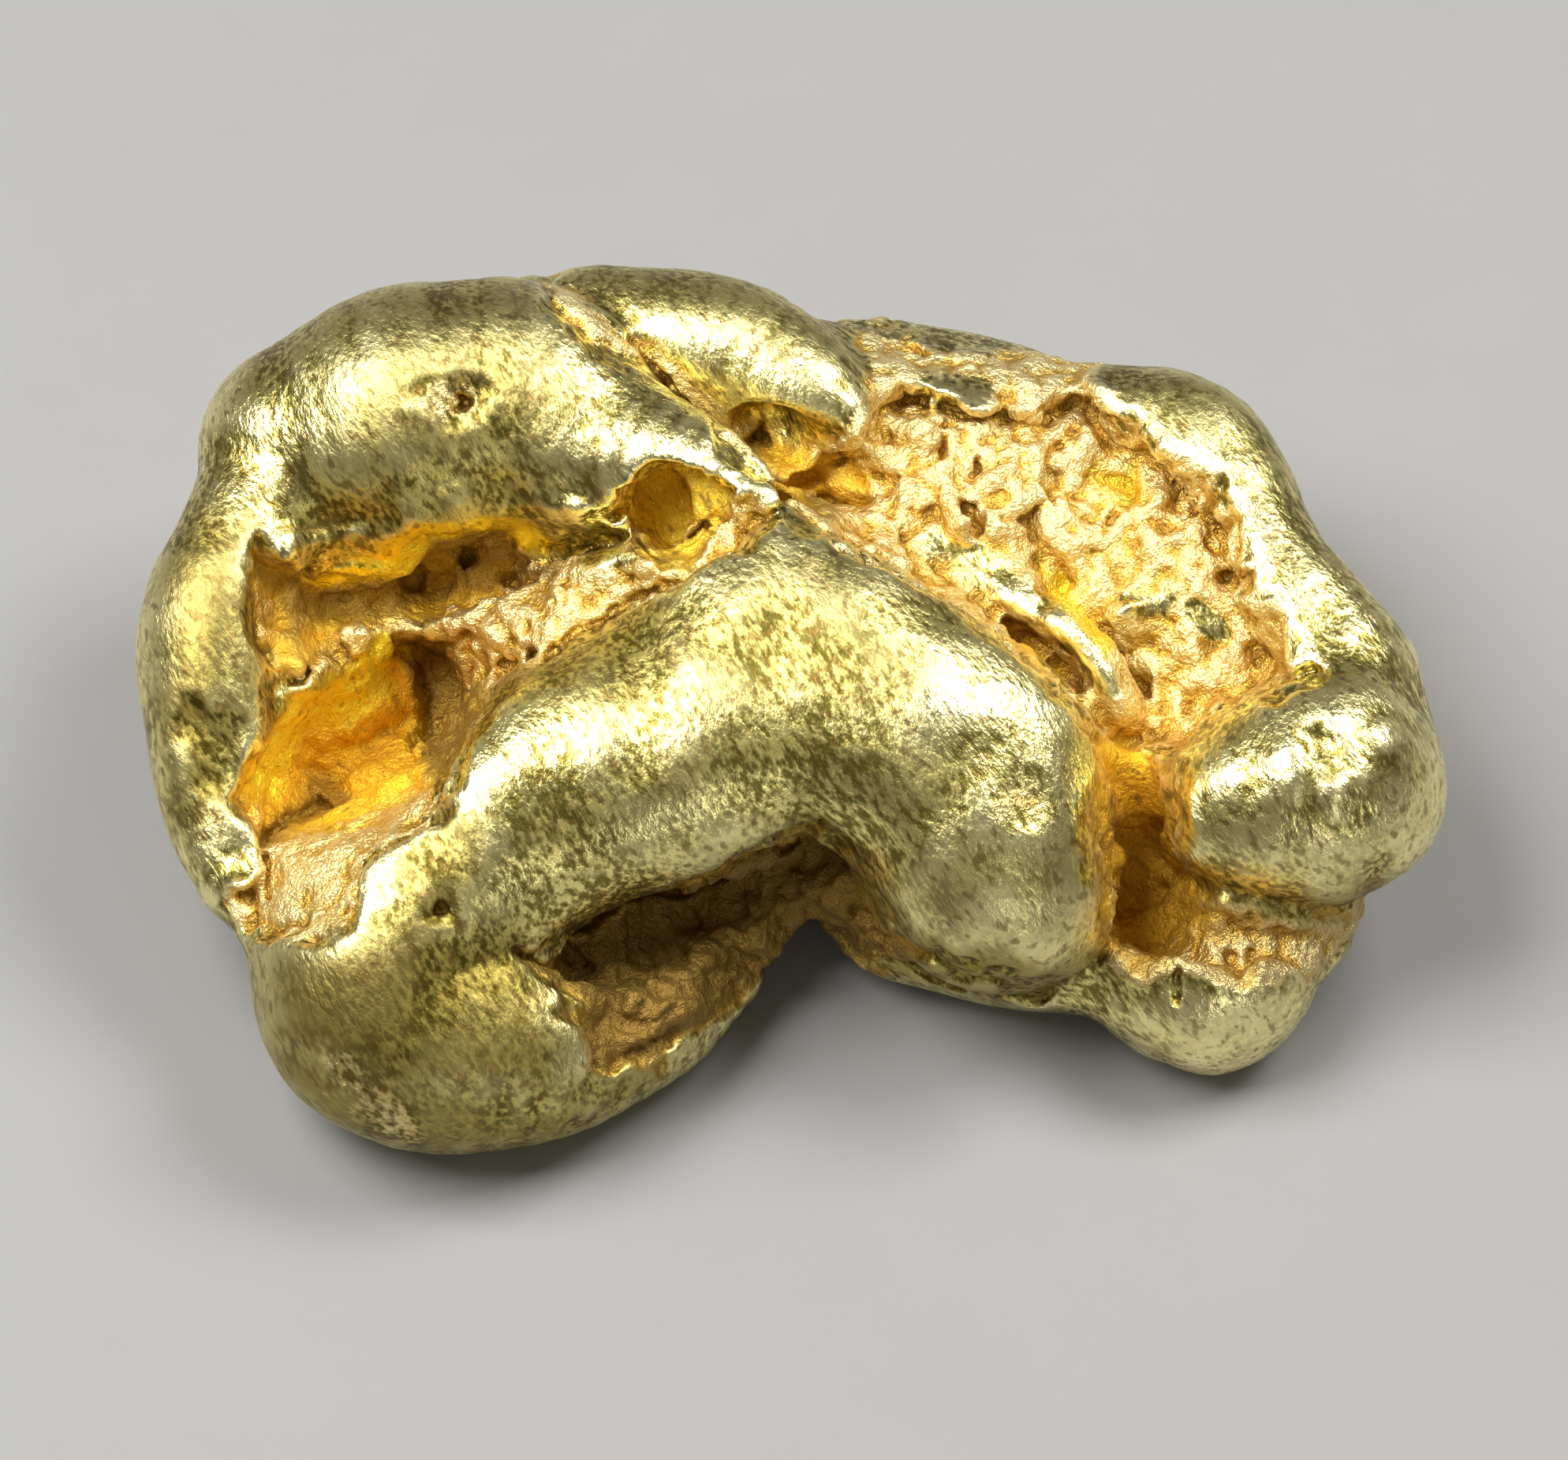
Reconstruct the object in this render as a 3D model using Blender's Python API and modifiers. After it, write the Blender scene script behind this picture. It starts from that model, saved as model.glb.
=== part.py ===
"""A natural gold nugget: one lump of folded, water-worn metal, resting on its underside.

The nugget is described in its face frame, in millimetres: u runs along its length, v up across
its broad face, and w out of that face. The face leans back from the table by FACE_LEAN. Rounded
folds and bored hollows give the body, and ledges, strokes and dots press the lower relief into
the face. A ball of voxels is then pushed onto that form, thinned to flat facets, and cut flat
where it rests. The finished mesh is in metres, +Z up, with its origin under its middle.
"""

import math

import bmesh
import bpy
import numpy as np

# Driving dimensions, in metres and radians
LENGTH = 0.016
FACE_LEAN = math.radians(55.0)

# Making, in millimetres unless said otherwise
FACE_HEIGHT = 3.0
FACE_SPAN = 16.0
MIDDLE_ACROSS = 0.025
MIDDLE_BACK = 0.275
REST_CUT = 0.03
START_RADII = (9.0, 6.5, 5.0)
START_DIVISIONS = 5
# voxel size, longest step onto the form, passes
PRESSES = ((0.4, 1.0, 10), (0.25, 0.5, 6), (0.14, 0.2, 4))
MOST_TRIANGLES = 9600
SPAN_PARTS = 4
REACH = 1.2
RELIEF_FLOOR = -2.8
RELIEF_LOWEST = 0.2
RELIEF_FADE = 1.0
# size, depth and seed of the shallow dents all over, and how much deeper they are behind
DENTS = ((1.3, 0.07, 0.0), (0.6, 0.03, 7.0))
BACK_DENTS = 3.0
# size, reach and seed of the unevenness of every outline and line of the relief
WANDER = ((0.6, 0.2, 41.0), (0.22, 0.08, 47.0))

# Any uneven numbers here scatter the noise well
CELL_TURNS = (127.1, 311.7, 74.7)
CELL_STRETCH = 43758.5453

GOLD_COLOUR = (0.72, 0.56, 0.22, 1.0)
GOLD_ROUGHNESS = 0.32
CRISP_ANGLE = math.radians(50.0)

# Folds of metal: how far each blends into the rest, then its centre line as u, v, w and radius
FOLDS = {
    "core": (0.6, [
        (-4.9, 0.8, -2.1, 1.75),
        (-2.6, 1.4, -2.0, 1.8),
        (-0.6, 1.7, -2.2, 2.0),
        (1.3, 2.0, -2.3, 2.3),
        (3.0, 1.9, -2.1, 2.2),
        (4.4, 1.5, -1.8, 2.05),
        (5.6, 0.0, -1.2, 1.6),
    ]),
    "belly": (0.6, [
        (-6.2, -0.5, -0.6, 1.15),
        (-5.3, -0.8, -1.0, 1.3),
        (-3.4, -0.5, -1.0, 1.5),
        (0.0, -0.3, -1.1, 1.5),
        (3.2, -0.9, -0.9, 1.5),
        (5.2, -1.3, -0.6, 1.3),
    ]),
    "left_wall": (0.4, [
        (-6.5, 1.0, -1.1, 1.0),
        (-6.5, -0.2, -0.6, 1.1),
        (-6.15, -1.35, -0.2, 1.1),
        (-5.5, -2.0, 0.1, 1.0),
    ]),
    "shoulder": (0.2, [
        (-5.85, 3.2, -1.2, 1.45),
        (-4.6, 3.55, -1.0, 1.7),
        (-3.35, 3.73, -0.9, 1.57),
        (-2.3, 3.25, -0.3, 1.08),
        (-1.1, 2.85, 0.35, 0.68),
        (-0.45, 2.55, 0.75, 0.38),
        (-0.1, 2.4, 0.9, 0.2),
    ]),
    "back_ridge": (0.12, [
        (-3.1, 4.65, -2.1, 0.8),
        (-2.0, 4.5, -1.8, 1.0),
        (-0.9, 4.35, -1.6, 1.05),
        (0.0, 4.0, -1.2, 0.85),
        (0.5, 3.7, -0.9, 0.55),
        (0.9, 3.45, -0.7, 0.28),
    ]),
    "back": (0.4, [
        (0.2, 3.5, -2.5, 1.4),
        (1.6, 3.2, -2.5, 1.4),
        (3.2, 3.05, -2.4, 1.33),
        (4.5, 3.05, -2.15, 1.2),
    ]),
    "back_spur": (0.25, [
        (4.6, 3.1, -2.8, 0.9),
        (3.2, 3.0, -3.6, 0.75),
        (1.8, 2.7, -3.9, 0.75),
        (0.2, 2.5, -3.9, 0.65),
        (-1.2, 2.2, -3.6, 0.5),
    ]),
    "left_back": (0.3, [
        (-6.0, 1.9, -1.9, 1.2),
        (-4.8, 2.6, -2.6, 1.3),
        (-3.2, 2.8, -3.0, 1.2),
    ]),
    "left_rim": (0.4, [
        (-6.6, 2.3, -0.5, 0.85),
        (-7.0, 1.2, -0.1, 0.92),
        (-7.1, 0.5, 0.05, 0.9),
        (-7.05, -0.4, 0.2, 0.75),
        (-6.95, -1.2, 0.3, 0.65),
        (-6.75, -2.1, 0.5, 0.5),
    ]),
    "sill": (0.3, [
        (-6.45, -2.3, 0.6, 0.45),
        (-5.7, -2.1, 0.9, 0.6),
        (-4.9, -1.75, 1.05, 0.6),
        (-4.3, -1.4, 1.1, 0.5),
    ]),
    "crumb_bank": (0.15, [
        (-4.2, 1.1, -0.7, 0.4),
        (-3.6, 0.95, -0.2, 0.5),
        (-2.8, 1.25, 0.1, 0.5),
        (-2.0, 1.5, 0.25, 0.5),
        (-1.4, 1.8, 0.4, 0.45),
        (-0.7, 2.15, 0.5, 0.4),
        (0.1, 2.2, 0.3, 0.4),
    ]),
    "left_foot": (0.5, [
        (-4.0, -1.7, 0.9, 1.2),
        (-4.75, -2.7, 0.75, 1.65),
        (-4.8, -3.5, 0.7, 1.7),
        (-4.0, -3.9, 0.75, 1.5),
        (-2.8, -4.0, 0.5, 1.15),
        (-1.8, -3.75, 0.1, 0.85),
        (-0.9, -3.2, -0.3, 0.55),
    ]),
    "web": (0.3, [
        (-2.6, -3.2, -0.4, 1.0),
        (-1.2, -2.5, -0.6, 0.9),
        (0.2, -1.75, -0.6, 0.85),
        (1.3, -2.2, -0.7, 0.85),
        (2.6, -2.65, -0.55, 0.85),
        (4.0, -2.55, -0.45, 0.87),
    ]),
    "arch_front": (0.9, [
        (-3.6, -1.9, 0.9, 1.1),
        (-2.9, -1.5, 1.0, 1.1),
        (-2.2, -1.2, 1.05, 1.15),
        (-1.2, -0.95, 1.05, 1.15),
        (0.1, -0.35, 1.0, 1.2),
        (1.3, -0.8, 1.05, 1.2),
        (2.0, -1.6, 1.05, 1.2),
        (2.4, -2.15, 0.95, 1.15),
    ]),
    "arch_back": (0.9, [
        (-3.4, -1.3, 0.8, 1.0),
        (-2.9, -0.7, 0.85, 1.2),
        (-1.3, 0.05, 0.75, 1.25),
        (-0.2, 1.0, 0.6, 1.3),
        (0.5, 0.8, 0.65, 1.35),
        (1.35, 0.3, 0.7, 1.35),
        (2.1, -0.25, 0.8, 1.35),
        (2.6, -0.85, 0.9, 1.25),
        (2.7, -1.5, 1.0, 1.15),
        (2.85, -2.1, 0.9, 1.15),
    ]),
    "right_foot": (0.3, [
        (1.3, -2.75, -0.7, 0.55),
        (2.6, -3.0, -0.4, 0.65),
        (3.9, -3.1, -0.1, 0.75),
        (5.1, -3.25, 0.0, 1.22),
        (5.7, -2.9, -0.1, 1.0),
        (6.5, -2.4, -0.2, 0.65),
    ]),
    "right_lobe": (0.2, [
        (5.35, -1.2, 0.55, 0.9),
        (6.4, -1.0, 0.4, 1.45),
        (6.6, -0.7, 0.1, 1.4),
    ]),
    "right_rim": (0.3, [
        (4.1, 3.45, -1.7, 0.75),
        (4.95, 3.2, -1.4, 0.88),
        (5.35, 2.7, -1.1, 0.88),
        (5.75, 2.0, -0.7, 0.8),
        (6.25, 1.2, -0.3, 0.8),
        (6.75, 0.3, -0.1, 1.0),
    ]),
    "spur": (0.12, [
        (2.4, 1.6, -0.2, 0.4),
        (3.1, 1.25, 0.2, 0.4),
        (3.7, 0.65, 0.45, 0.35),
        (4.1, -0.05, 0.45, 0.25),
    ]),
}

# Hollows bored into the folds, given in the same way
HOLLOWS = {
    "big_pit": (0.12, [
        (-6.1, -0.9, 1.0, 0.5),
        (-5.5, -0.6, 0.5, 0.8),
        (-4.9, -0.1, 0.2, 0.85),
        (-4.6, 0.1, 0.1, 0.75),
    ]),
    "upper_pit": (0.12, [
        (-6.1, 1.5, 0.8, 0.5),
        (-6.0, 0.9, 0.5, 0.5),
        (-5.3, 1.2, 0.3, 0.4),
    ]),
    "slot": (0.1, [
        (-5.3, 1.25, -0.1, 0.35),
        (-4.6, 1.45, -0.35, 0.42),
        (-4.0, 1.6, -0.35, 0.42),
        (-3.2, 1.65, 0.1, 0.28),
    ]),
    "channel": (0.12, [
        (4.15, -0.6, 1.2, 0.3),
        (4.2, -1.2, 0.9, 0.4),
        (4.25, -1.9, 0.6, 0.42),
        (4.4, -2.6, 0.7, 0.5),
        (5.2, -2.75, 1.0, 0.35),
        (6.4, -2.75, 0.9, 0.25),
    ]),
    "under_arch": (0.15, [
        (-2.6, -2.95, 0.9, 0.45),
        (-1.7, -2.65, 0.65, 0.55),
        (-0.6, -2.2, 0.55, 0.5),
        (0.3, -1.9, 0.6, 0.45),
    ]),
    "back_gap": (0.2, [
        (-1.6, 3.6, -4.6, 0.7),
        (-0.2, 3.6, -4.2, 0.5),
        (1.0, 3.7, -4.1, 0.35),
    ]),
    "rest_hollow": (0.4, [
        (-2.4, -1.3, -3.3, 1.2),
        (0.4, -1.5, -3.5, 1.5),
        (3.2, -1.6, -3.2, 1.2),
    ]),
    "pocket": (0.08, [
        (-1.5, 2.6, 0.75, 0.45),
        (-1.4, 2.2, 0.7, 0.4),
    ]),
    "under_ridge": (0.1, [
        (-0.3, 3.45, -0.8, 0.42),
        (0.1, 3.1, -0.3, 0.55),
        (0.8, 2.85, 0.0, 0.5),
    ]),
}

# Ledges: how far each area of the face stands out or sinks, how soft its edge is, and its outline
LEDGES = {
    "arch_plate": (0.12, 0.1, [
        (-0.15, 2.35), (0.75, 1.95), (1.75, 1.35), (2.5, 0.87), (3.2, 0.4), (3.7, -0.3),
        (3.83, -1.0), (3.83, -1.9), (3.95, -2.6), (3.95, -2.95), (3.7, -3.2), (3.0, -3.35),
        (2.1, -3.25), (1.5, -3.0), (1.15, -2.55), (0.95, -2.05), (0.65, -1.6), (0.3, -1.4),
        (-0.75, -1.85), (-1.95, -2.33), (-2.9, -2.7), (-3.1, -2.95), (-2.65, -3.45), (-2.5, -4.6),
        (-3.0, -6.0), (-7.5, -6.0), (-7.0, -2.9), (-6.1, -2.85), (-5.7, -2.75), (-5.35, -2.4),
        (-5.2, -2.0), (-4.3, -1.3), (-4.0, -0.7), (-3.7, -0.05), (-3.3, 0.5), (-2.5, 0.97),
        (-1.65, 1.3), (-0.8, 1.95),
    ]),
    "lobe_plate": (0.12, 0.1, [
        (4.45, -0.6), (5.3, -0.15), (6.3, 0.3), (7.0, 0.4), (8.2, -0.3), (8.2, -1.5), (7.2, -2.3),
        (6.2, -2.65), (5.3, -2.4), (4.9, -1.9), (4.6, -1.2),
    ]),
    "cavity_floor": (-0.45, 0.18, [
        (-6.45, 2.0), (-5.9, 1.5), (-5.0, 1.6), (-4.6, 2.05), (-4.0, 2.2), (-3.2, 2.05),
        (-2.3, 1.95), (-3.0, 1.5), (-3.4, 1.2), (-3.3, 0.5), (-3.8, 0.1), (-4.0, -0.5),
        (-4.3, -1.2), (-5.3, -1.5), (-6.4, -1.7), (-6.75, -1.1), (-6.4, -0.5), (-6.4, 0.4),
        (-6.55, 1.0),
    ]),
    "big_cavity": (-0.5, 0.15, [
        (-5.3, 0.6), (-4.6, 0.9), (-4.0, 0.9), (-3.85, 0.15), (-4.05, -0.4), (-4.4, -1.1),
        (-5.0, -1.35), (-6.0, -1.6), (-6.4, -1.7), (-6.7, -1.1), (-6.45, -0.6), (-6.0, 0.1),
    ]),
    "cavity_end": (-0.9, 0.1, [
        (-4.75, 0.8), (-4.15, 0.85), (-3.95, 0.3), (-4.1, -0.35), (-4.35, -0.7), (-4.6, -0.3),
        (-4.65, 0.2),
    ]),
    "sill": (-0.3, 0.12, [
        (-4.2, -0.9), (-4.3, -1.3), (-4.8, -1.7), (-5.2, -2.0), (-5.35, -2.4), (-5.7, -2.75),
        (-6.1, -2.85), (-6.5, -2.75), (-6.7, -2.3), (-6.35, -1.8), (-5.6, -1.5), (-5.0, -1.3),
    ]),
    "worn_hollow": (-0.6, 0.1, [
        (0.9, 3.3), (1.3, 4.0), (2.2, 3.7), (3.6, 3.8), (4.5, 3.2), (5.4, 2.5), (5.7, 1.7),
        (5.6, 1.3), (6.1, 0.4), (5.3, 0.0), (4.4, -0.4), (3.85, -0.5), (3.7, -0.25), (3.2, 0.42),
        (2.5, 0.9), (1.75, 1.38), (0.77, 1.97), (-0.1, 2.4), (-0.2, 2.7),
    ]),
    "channel_mouth": (-0.3, 0.25, [
        (3.8, -0.1), (4.1, 0.0), (4.4, -0.5), (4.7, -1.3), (5.1, -2.2), (4.6, -3.0), (3.9, -2.8),
        (3.8, -1.6),
    ]),
    "channel": (-0.3, 0.08, [
        (3.84, -0.6), (4.1, -0.4), (4.38, -0.6), (4.62, -1.3), (4.9, -2.0), (5.1, -2.4),
        (4.6, -3.0), (4.0, -2.9), (3.85, -1.9),
    ]),
    "channel_pit": (-0.35, 0.08, [
        (3.85, -1.5), (4.2, -1.35), (4.6, -1.5), (4.85, -2.0), (4.7, -2.5), (4.1, -2.7),
        (3.85, -2.1),
    ]),
    "pocket": (-0.8, 0.08, [
        (-2.0, 2.35), (-1.95, 2.65), (-1.65, 2.95), (-1.1, 3.0), (-0.85, 2.7), (-0.9, 2.3),
        (-1.35, 1.8), (-1.65, 1.9),
    ]),
    "rim_top": (0.08, 0.25, [
        (3.9, 4.1), (3.6, 3.8), (4.0, 3.5), (4.5, 3.2), (4.9, 2.8), (5.4, 2.5), (5.6, 2.1),
        (5.8, 1.7), (5.6, 1.3), (5.9, 0.9), (6.2, 0.5), (7.4, 0.0), (7.4, 1.2), (6.2, 3.4),
        (5.2, 4.3),
    ]),
}

# Strokes: half width, height (below zero for a groove) and the line each follows
STROKES = {
    "lip": (0.45, 0.22, [
        (-5.9, 1.9), (-5.4, 1.8), (-4.95, 1.95), (-4.6, 2.3), (-4.0, 2.45), (-3.2, 2.25),
        (-2.5, 2.15),
    ]),
    "arch_under_edge": (0.14, -0.35, [
        (3.95, -2.95), (3.7, -3.2), (3.0, -3.38), (2.1, -3.3), (1.5, -3.05), (1.12, -2.6),
        (0.9, -2.05), (0.6, -1.65), (0.3, -1.45), (-0.75, -1.9), (-1.95, -2.38), (-2.9, -2.75),
        (-3.15, -3.0),
    ]),
    "lobe_edge": (0.14, -0.3, [(4.4, -0.5), (5.2, -0.1), (6.1, 0.32), (6.5, 0.42)]),
    "crease": (0.14, -0.25, [
        (-3.15, 5.5), (-2.95, 5.0), (-2.3, 4.45), (-1.45, 3.9), (-0.75, 3.2), (-0.3, 2.8),
        (0.0, 2.5),
    ]),
    "arch_edge": (0.18, -0.3, [
        (-2.9, 0.75), (-1.9, 1.2), (-1.4, 1.6), (-1.05, 1.95), (-0.5, 2.15), (-0.1, 2.35),
        (0.7, 2.05), (1.3, 1.75), (2.0, 1.4),
    ]),
    "slit_spur": (0.25, -0.55, [(2.75, 1.0), (3.1, 0.75), (3.4, 0.4)]),
    "spur_ridge": (0.4, 0.12, [(2.6, 1.35), (3.1, 1.15), (3.5, 0.85), (3.85, 0.4)]),
    "slit_left": (0.15, -0.35, [(-6.4, -1.7), (-6.15, -1.4), (-5.9, -1.1)]),
    "slit_ridge": (0.14, -0.4, [(0.0, 2.55), (0.5, 2.6), (1.0, 2.5)]),
    "slit_hollow": (0.22, -0.3, [(2.85, 2.4), (3.0, 2.05), (3.3, 1.6)]),
    "slit_corner": (0.17, -0.25, [(4.12, 0.7), (4.3, 0.35)]),
    "groove_bank": (0.2, -0.15, [(3.35, 3.2), (3.3, 2.75)]),
    "crease_beads": (0.16, -0.2, [(1.05, 2.9), (1.3, 2.7)]),
    "bank_ridge": (0.25, 0.15, [(3.85, 4.0), (3.4, 3.4)]),
    "rim_dent": (0.45, -0.15, [(-7.05, -0.3), (-6.95, -0.8)]),
    "sill_crack": (0.1, -0.2, [(-6.4, -1.9), (-6.3, -2.3)]),
    "channel_step": (0.14, -0.3, [(4.5, -1.42), (3.95, -1.5), (3.92, -2.0)]),
    "cavity_rim": (0.25, 0.15, [(-6.3, -0.6), (-5.95, 0.0), (-5.4, 0.4), (-4.9, 0.65)]),
    "cavity_recess": (0.3, -0.2, [(-5.75, -0.75), (-5.3, -0.3), (-4.8, 0.0), (-4.3, -0.3)]),
    "shelf_crack": (0.14, -0.12, [(4.85, -3.3), (4.9, -3.7)]),
}

# Dots: u, v, radius and height (below zero for a pit)
DOTS = (
    (-4.0, 3.83, 0.5, -0.1),
    (-4.0, 3.83, 0.16, -0.25),
    (-4.15, -2.35, 0.3, -0.1),
    (-4.15, -2.33, 0.13, -0.15),
    (-4.6, 1.5, 0.22, -0.3),
    (-4.0, 1.95, 0.22, -0.3),
    (-3.3, 1.65, 0.22, -0.3),
    (-3.15, 1.0, 0.18, -0.2),
    (-3.9, 1.2, 0.32, 0.25),
    (-3.65, 0.85, 0.32, 0.3),
    (-6.1, 0.8, 0.35, 0.3),
    (-5.3, 0.75, 0.35, 0.25),
    (-6.0, 0.5, 0.18, -0.3),
    (-0.35, 3.35, 0.25, -0.5),
    (1.8, 3.2, 0.2, -0.25),
    (2.3, 3.1, 0.2, -0.25),
    (5.4, 1.65, 0.22, -0.25),
    (3.9, 1.0, 0.2, -0.25),
    (0.9, 3.3, 0.3, 0.15),
    (1.5, 3.45, 0.3, 0.15),
    (1.95, 2.55, 0.3, 0.2),
    (2.2, 2.3, 0.25, 0.2),
    (3.5, 2.05, 0.3, 0.15),
    (4.2, 1.1, 0.35, 0.2),
    (4.1, 2.75, 0.4, -0.2),
    (3.8, 3.3, 0.35, 0.2),
    (4.55, 2.7, 0.35, 0.15),
    (5.05, 2.3, 0.35, 0.15),
    (4.6, 2.1, 0.3, 0.12),
    (5.6, 0.9, 0.3, 0.12),
    (-6.65, -2.1, 0.32, 0.2),
    (5.22, -2.98, 0.16, -0.2),
    (5.53, -2.98, 0.16, -0.2),
    (6.0, -0.75, 0.5, 0.08),
    (6.75, -1.0, 0.45, 0.1),
    (7.3, -0.45, 0.45, 0.1),
    (6.42, -0.45, 0.3, -0.12),
    (5.1, -0.75, 0.5, 0.06),
    (-2.4, -3.1, 0.25, -0.2),
    (-1.95, -3.35, 0.4, 0.25),
    (-1.2, -3.0, 0.4, 0.2),
    (-0.5, -2.7, 0.35, 0.2),
    (-4.9, -0.75, 0.5, 0.2),
    (-1.5, -3.7, 0.45, 0.2),
)


def clear_scene():
    for obj in list(bpy.data.objects):
        bpy.data.objects.remove(obj)


def gold_material():
    """Worn natural gold, a little green."""
    material = bpy.data.materials.new("natural_gold")
    material.use_nodes = True
    shader = material.node_tree.nodes["Principled BSDF"]
    shader.inputs["Base Color"].default_value = GOLD_COLOUR
    shader.inputs["Metallic"].default_value = 1.0
    shader.inputs["Roughness"].default_value = GOLD_ROUGHNESS
    material.diffuse_color = GOLD_COLOUR
    return material


def smooth_line(points):
    """A smooth line through the given centres and radii."""
    ends = np.array(points, dtype=float)
    before = 2 * ends[0] - ends[1]
    after = 2 * ends[-1] - ends[-2]
    p = np.vstack([before, ends, after])
    line = []
    for a, b, c, d in zip(p, p[1:], p[2:], p[3:]):
        for t in np.arange(SPAN_PARTS) / SPAN_PARTS:
            bend = 2 * a - 5 * b + 4 * c - d
            twist = 3 * b - a - 3 * c + d
            line.append(b + 0.5 * t * ((c - a) + t * (bend + t * twist)))
    line.append(ends[-1])
    return np.array(line)


def fold_distance(p, line):
    """Distance outside a round fold, up to REACH."""
    low = (line[:, :3] - line[:, 3:]).min(axis=0) - REACH
    high = (line[:, :3] + line[:, 3:]).max(axis=0) + REACH
    near = ((p > low) & (p < high)).all(axis=1)
    q = p[near]
    best = np.full(len(q), REACH)
    for start, end in zip(line, line[1:]):
        along = end[:3] - start[:3]
        t = np.clip((q - start[:3]) @ along / (along @ along), 0, 1)
        gap = np.linalg.norm(q - start[:3] - t[:, None] * along, axis=1)
        best = np.minimum(best, gap - start[3] - t * (end[3] - start[3]))
    distance = np.full(len(p), REACH)
    distance[near] = best
    return distance


def blended(a, b, width):
    """The smaller of two distances, rounded where they are within width of each other."""
    overlap = np.maximum(width - np.abs(a - b), 0) / width
    return np.minimum(a, b) - overlap * overlap * width / 4


def ramp(x):
    x = np.clip(x, 0, 1)
    return x * x * (3 - 2 * x)


def bump(distance, radius):
    """One at the middle, falling smoothly to nothing at the radius."""
    return (1 - np.minimum(distance / radius, 1) ** 2) ** 2


def line_distance(q, points):
    """Distance in the face to a line of straight runs."""
    best = np.full(len(q), np.inf)
    for start, end in zip(points, points[1:]):
        along = np.subtract(end, start)
        t = np.clip((q - start) @ along / (along @ along), 0, 1)
        best = np.minimum(best, np.linalg.norm(q - start - t[:, None] * along, axis=1))
    return best


def inside(q, outline):
    """Whether each point of the face lies within a closed outline."""
    odd = np.zeros(len(q), dtype=bool)
    for (u0, v0), (u1, v1) in zip(outline, outline[1:] + outline[:1]):
        if v0 != v1:
            crosses = (v0 > q[:, 1]) != (v1 > q[:, 1])
            odd ^= crosses & (q[:, 0] < u0 + (q[:, 1] - v0) * (u1 - u0) / (v1 - v0))
    return odd


def relief(q):
    """How far the face stands out at each u, v."""
    height = np.zeros(len(q))
    for rise, edge, outline in LEDGES.values():
        distance = line_distance(q, outline + outline[:1])
        signed = np.where(inside(q, outline), distance, -distance)
        height += rise * ramp(0.5 + signed / (2 * edge))
    for half_width, rise, points in STROKES.values():
        height += rise * bump(line_distance(q, points), half_width)
    for u, v, radius, rise in DOTS:
        height += rise * bump(np.hypot(q[:, 0] - u, q[:, 1] - v), radius)
    return height


def scattered(cell, seed):
    """An even random number for each whole-numbered cell."""
    turns = cell @ np.array(CELL_TURNS)
    return np.modf(np.abs(np.sin(turns + seed)) * CELL_STRETCH)[0]


def cloud(p, size, seed):
    """Soft noise from minus one to one."""
    q = p / size
    base = np.floor(q)
    part = ramp(q - base)
    total = np.zeros(len(p))
    for corner in np.ndindex(2, 2, 2):
        share = np.where(corner, part, 1 - part).prod(axis=1)
        total += share * scattered(base + corner, seed)
    return 2 * total - 1


def wandered(p):
    """The u and v of each point, shifted a little so that the lines of the relief come out uneven."""
    q = p[:, :2].copy()
    for size, reach, seed in WANDER:
        q[:, 0] += reach * cloud(p, size, seed)
        q[:, 1] += reach * cloud(p, size, seed + 1)
    return q


def front_share(p):
    """One over the face, falling to nothing on the hidden side."""
    return ramp((p[:, 2] - RELIEF_FLOOR) / RELIEF_FADE)


def table_height(p):
    return FACE_HEIGHT + p[:, 1] * math.cos(FACE_LEAN) + p[:, 2] * math.sin(FACE_LEAN)


def relief_share(p):
    """One where the relief shows, falling to nothing on the hidden side and towards the table."""
    return front_share(p) * ramp((table_height(p) - RELIEF_LOWEST) / RELIEF_FADE)


def dents(p):
    """Shallow unevenness, as a distance to add."""
    total = sum(depth * cloud(p, size, seed) for size, depth, seed in DENTS)
    return total * (1 + (BACK_DENTS - 1) * (1 - front_share(p)))


def form_distance(p):
    """Distance outside the nugget's form, below zero inside it, at points of the face frame."""
    shifted = p.copy()
    shifted[:, 2] -= relief(wandered(p)) * relief_share(p)
    distance = np.full(len(p), REACH)
    for blend, points in FOLDS.values():
        distance = blended(distance, fold_distance(shifted, smooth_line(points)), blend)
    for blend, points in HOLLOWS.values():
        distance = -blended(-distance, fold_distance(shifted, smooth_line(points)), blend)
    return distance + dents(p)


def vertex_values(mesh, name):
    values = np.empty(len(mesh.vertices) * 3)
    mesh.vertices.foreach_get(name, values)
    return values.reshape(-1, 3)


def set_places(mesh, p):
    mesh.vertices.foreach_set("co", p.ravel())
    mesh.update()


def apply_modifier(obj, kind, **settings):
    modifier = obj.modifiers.new(kind.lower(), kind)
    for name, value in settings.items():
        setattr(modifier, name, value)
    bpy.ops.object.modifier_apply(modifier=modifier.name)


def pressed_ball():
    """A ball of even voxels moved, from coarse to fine, onto the nugget's form."""
    bpy.ops.mesh.primitive_ico_sphere_add(subdivisions=START_DIVISIONS, radius=1.0)
    obj = bpy.context.object
    obj.name = "gold_nugget"
    obj.data.name = "gold_nugget"
    obj.scale = START_RADII
    bpy.ops.object.transform_apply(scale=True)
    for voxel, longest_step, passes in PRESSES:
        for _ in range(passes):
            apply_modifier(obj, "REMESH", mode="VOXEL", voxel_size=voxel)
            p = vertex_values(obj.data, "co")
            step = np.clip(form_distance(p), -longest_step, longest_step)
            set_places(obj.data, p - vertex_values(obj.data, "normal") * step[:, None])
    return obj


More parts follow.
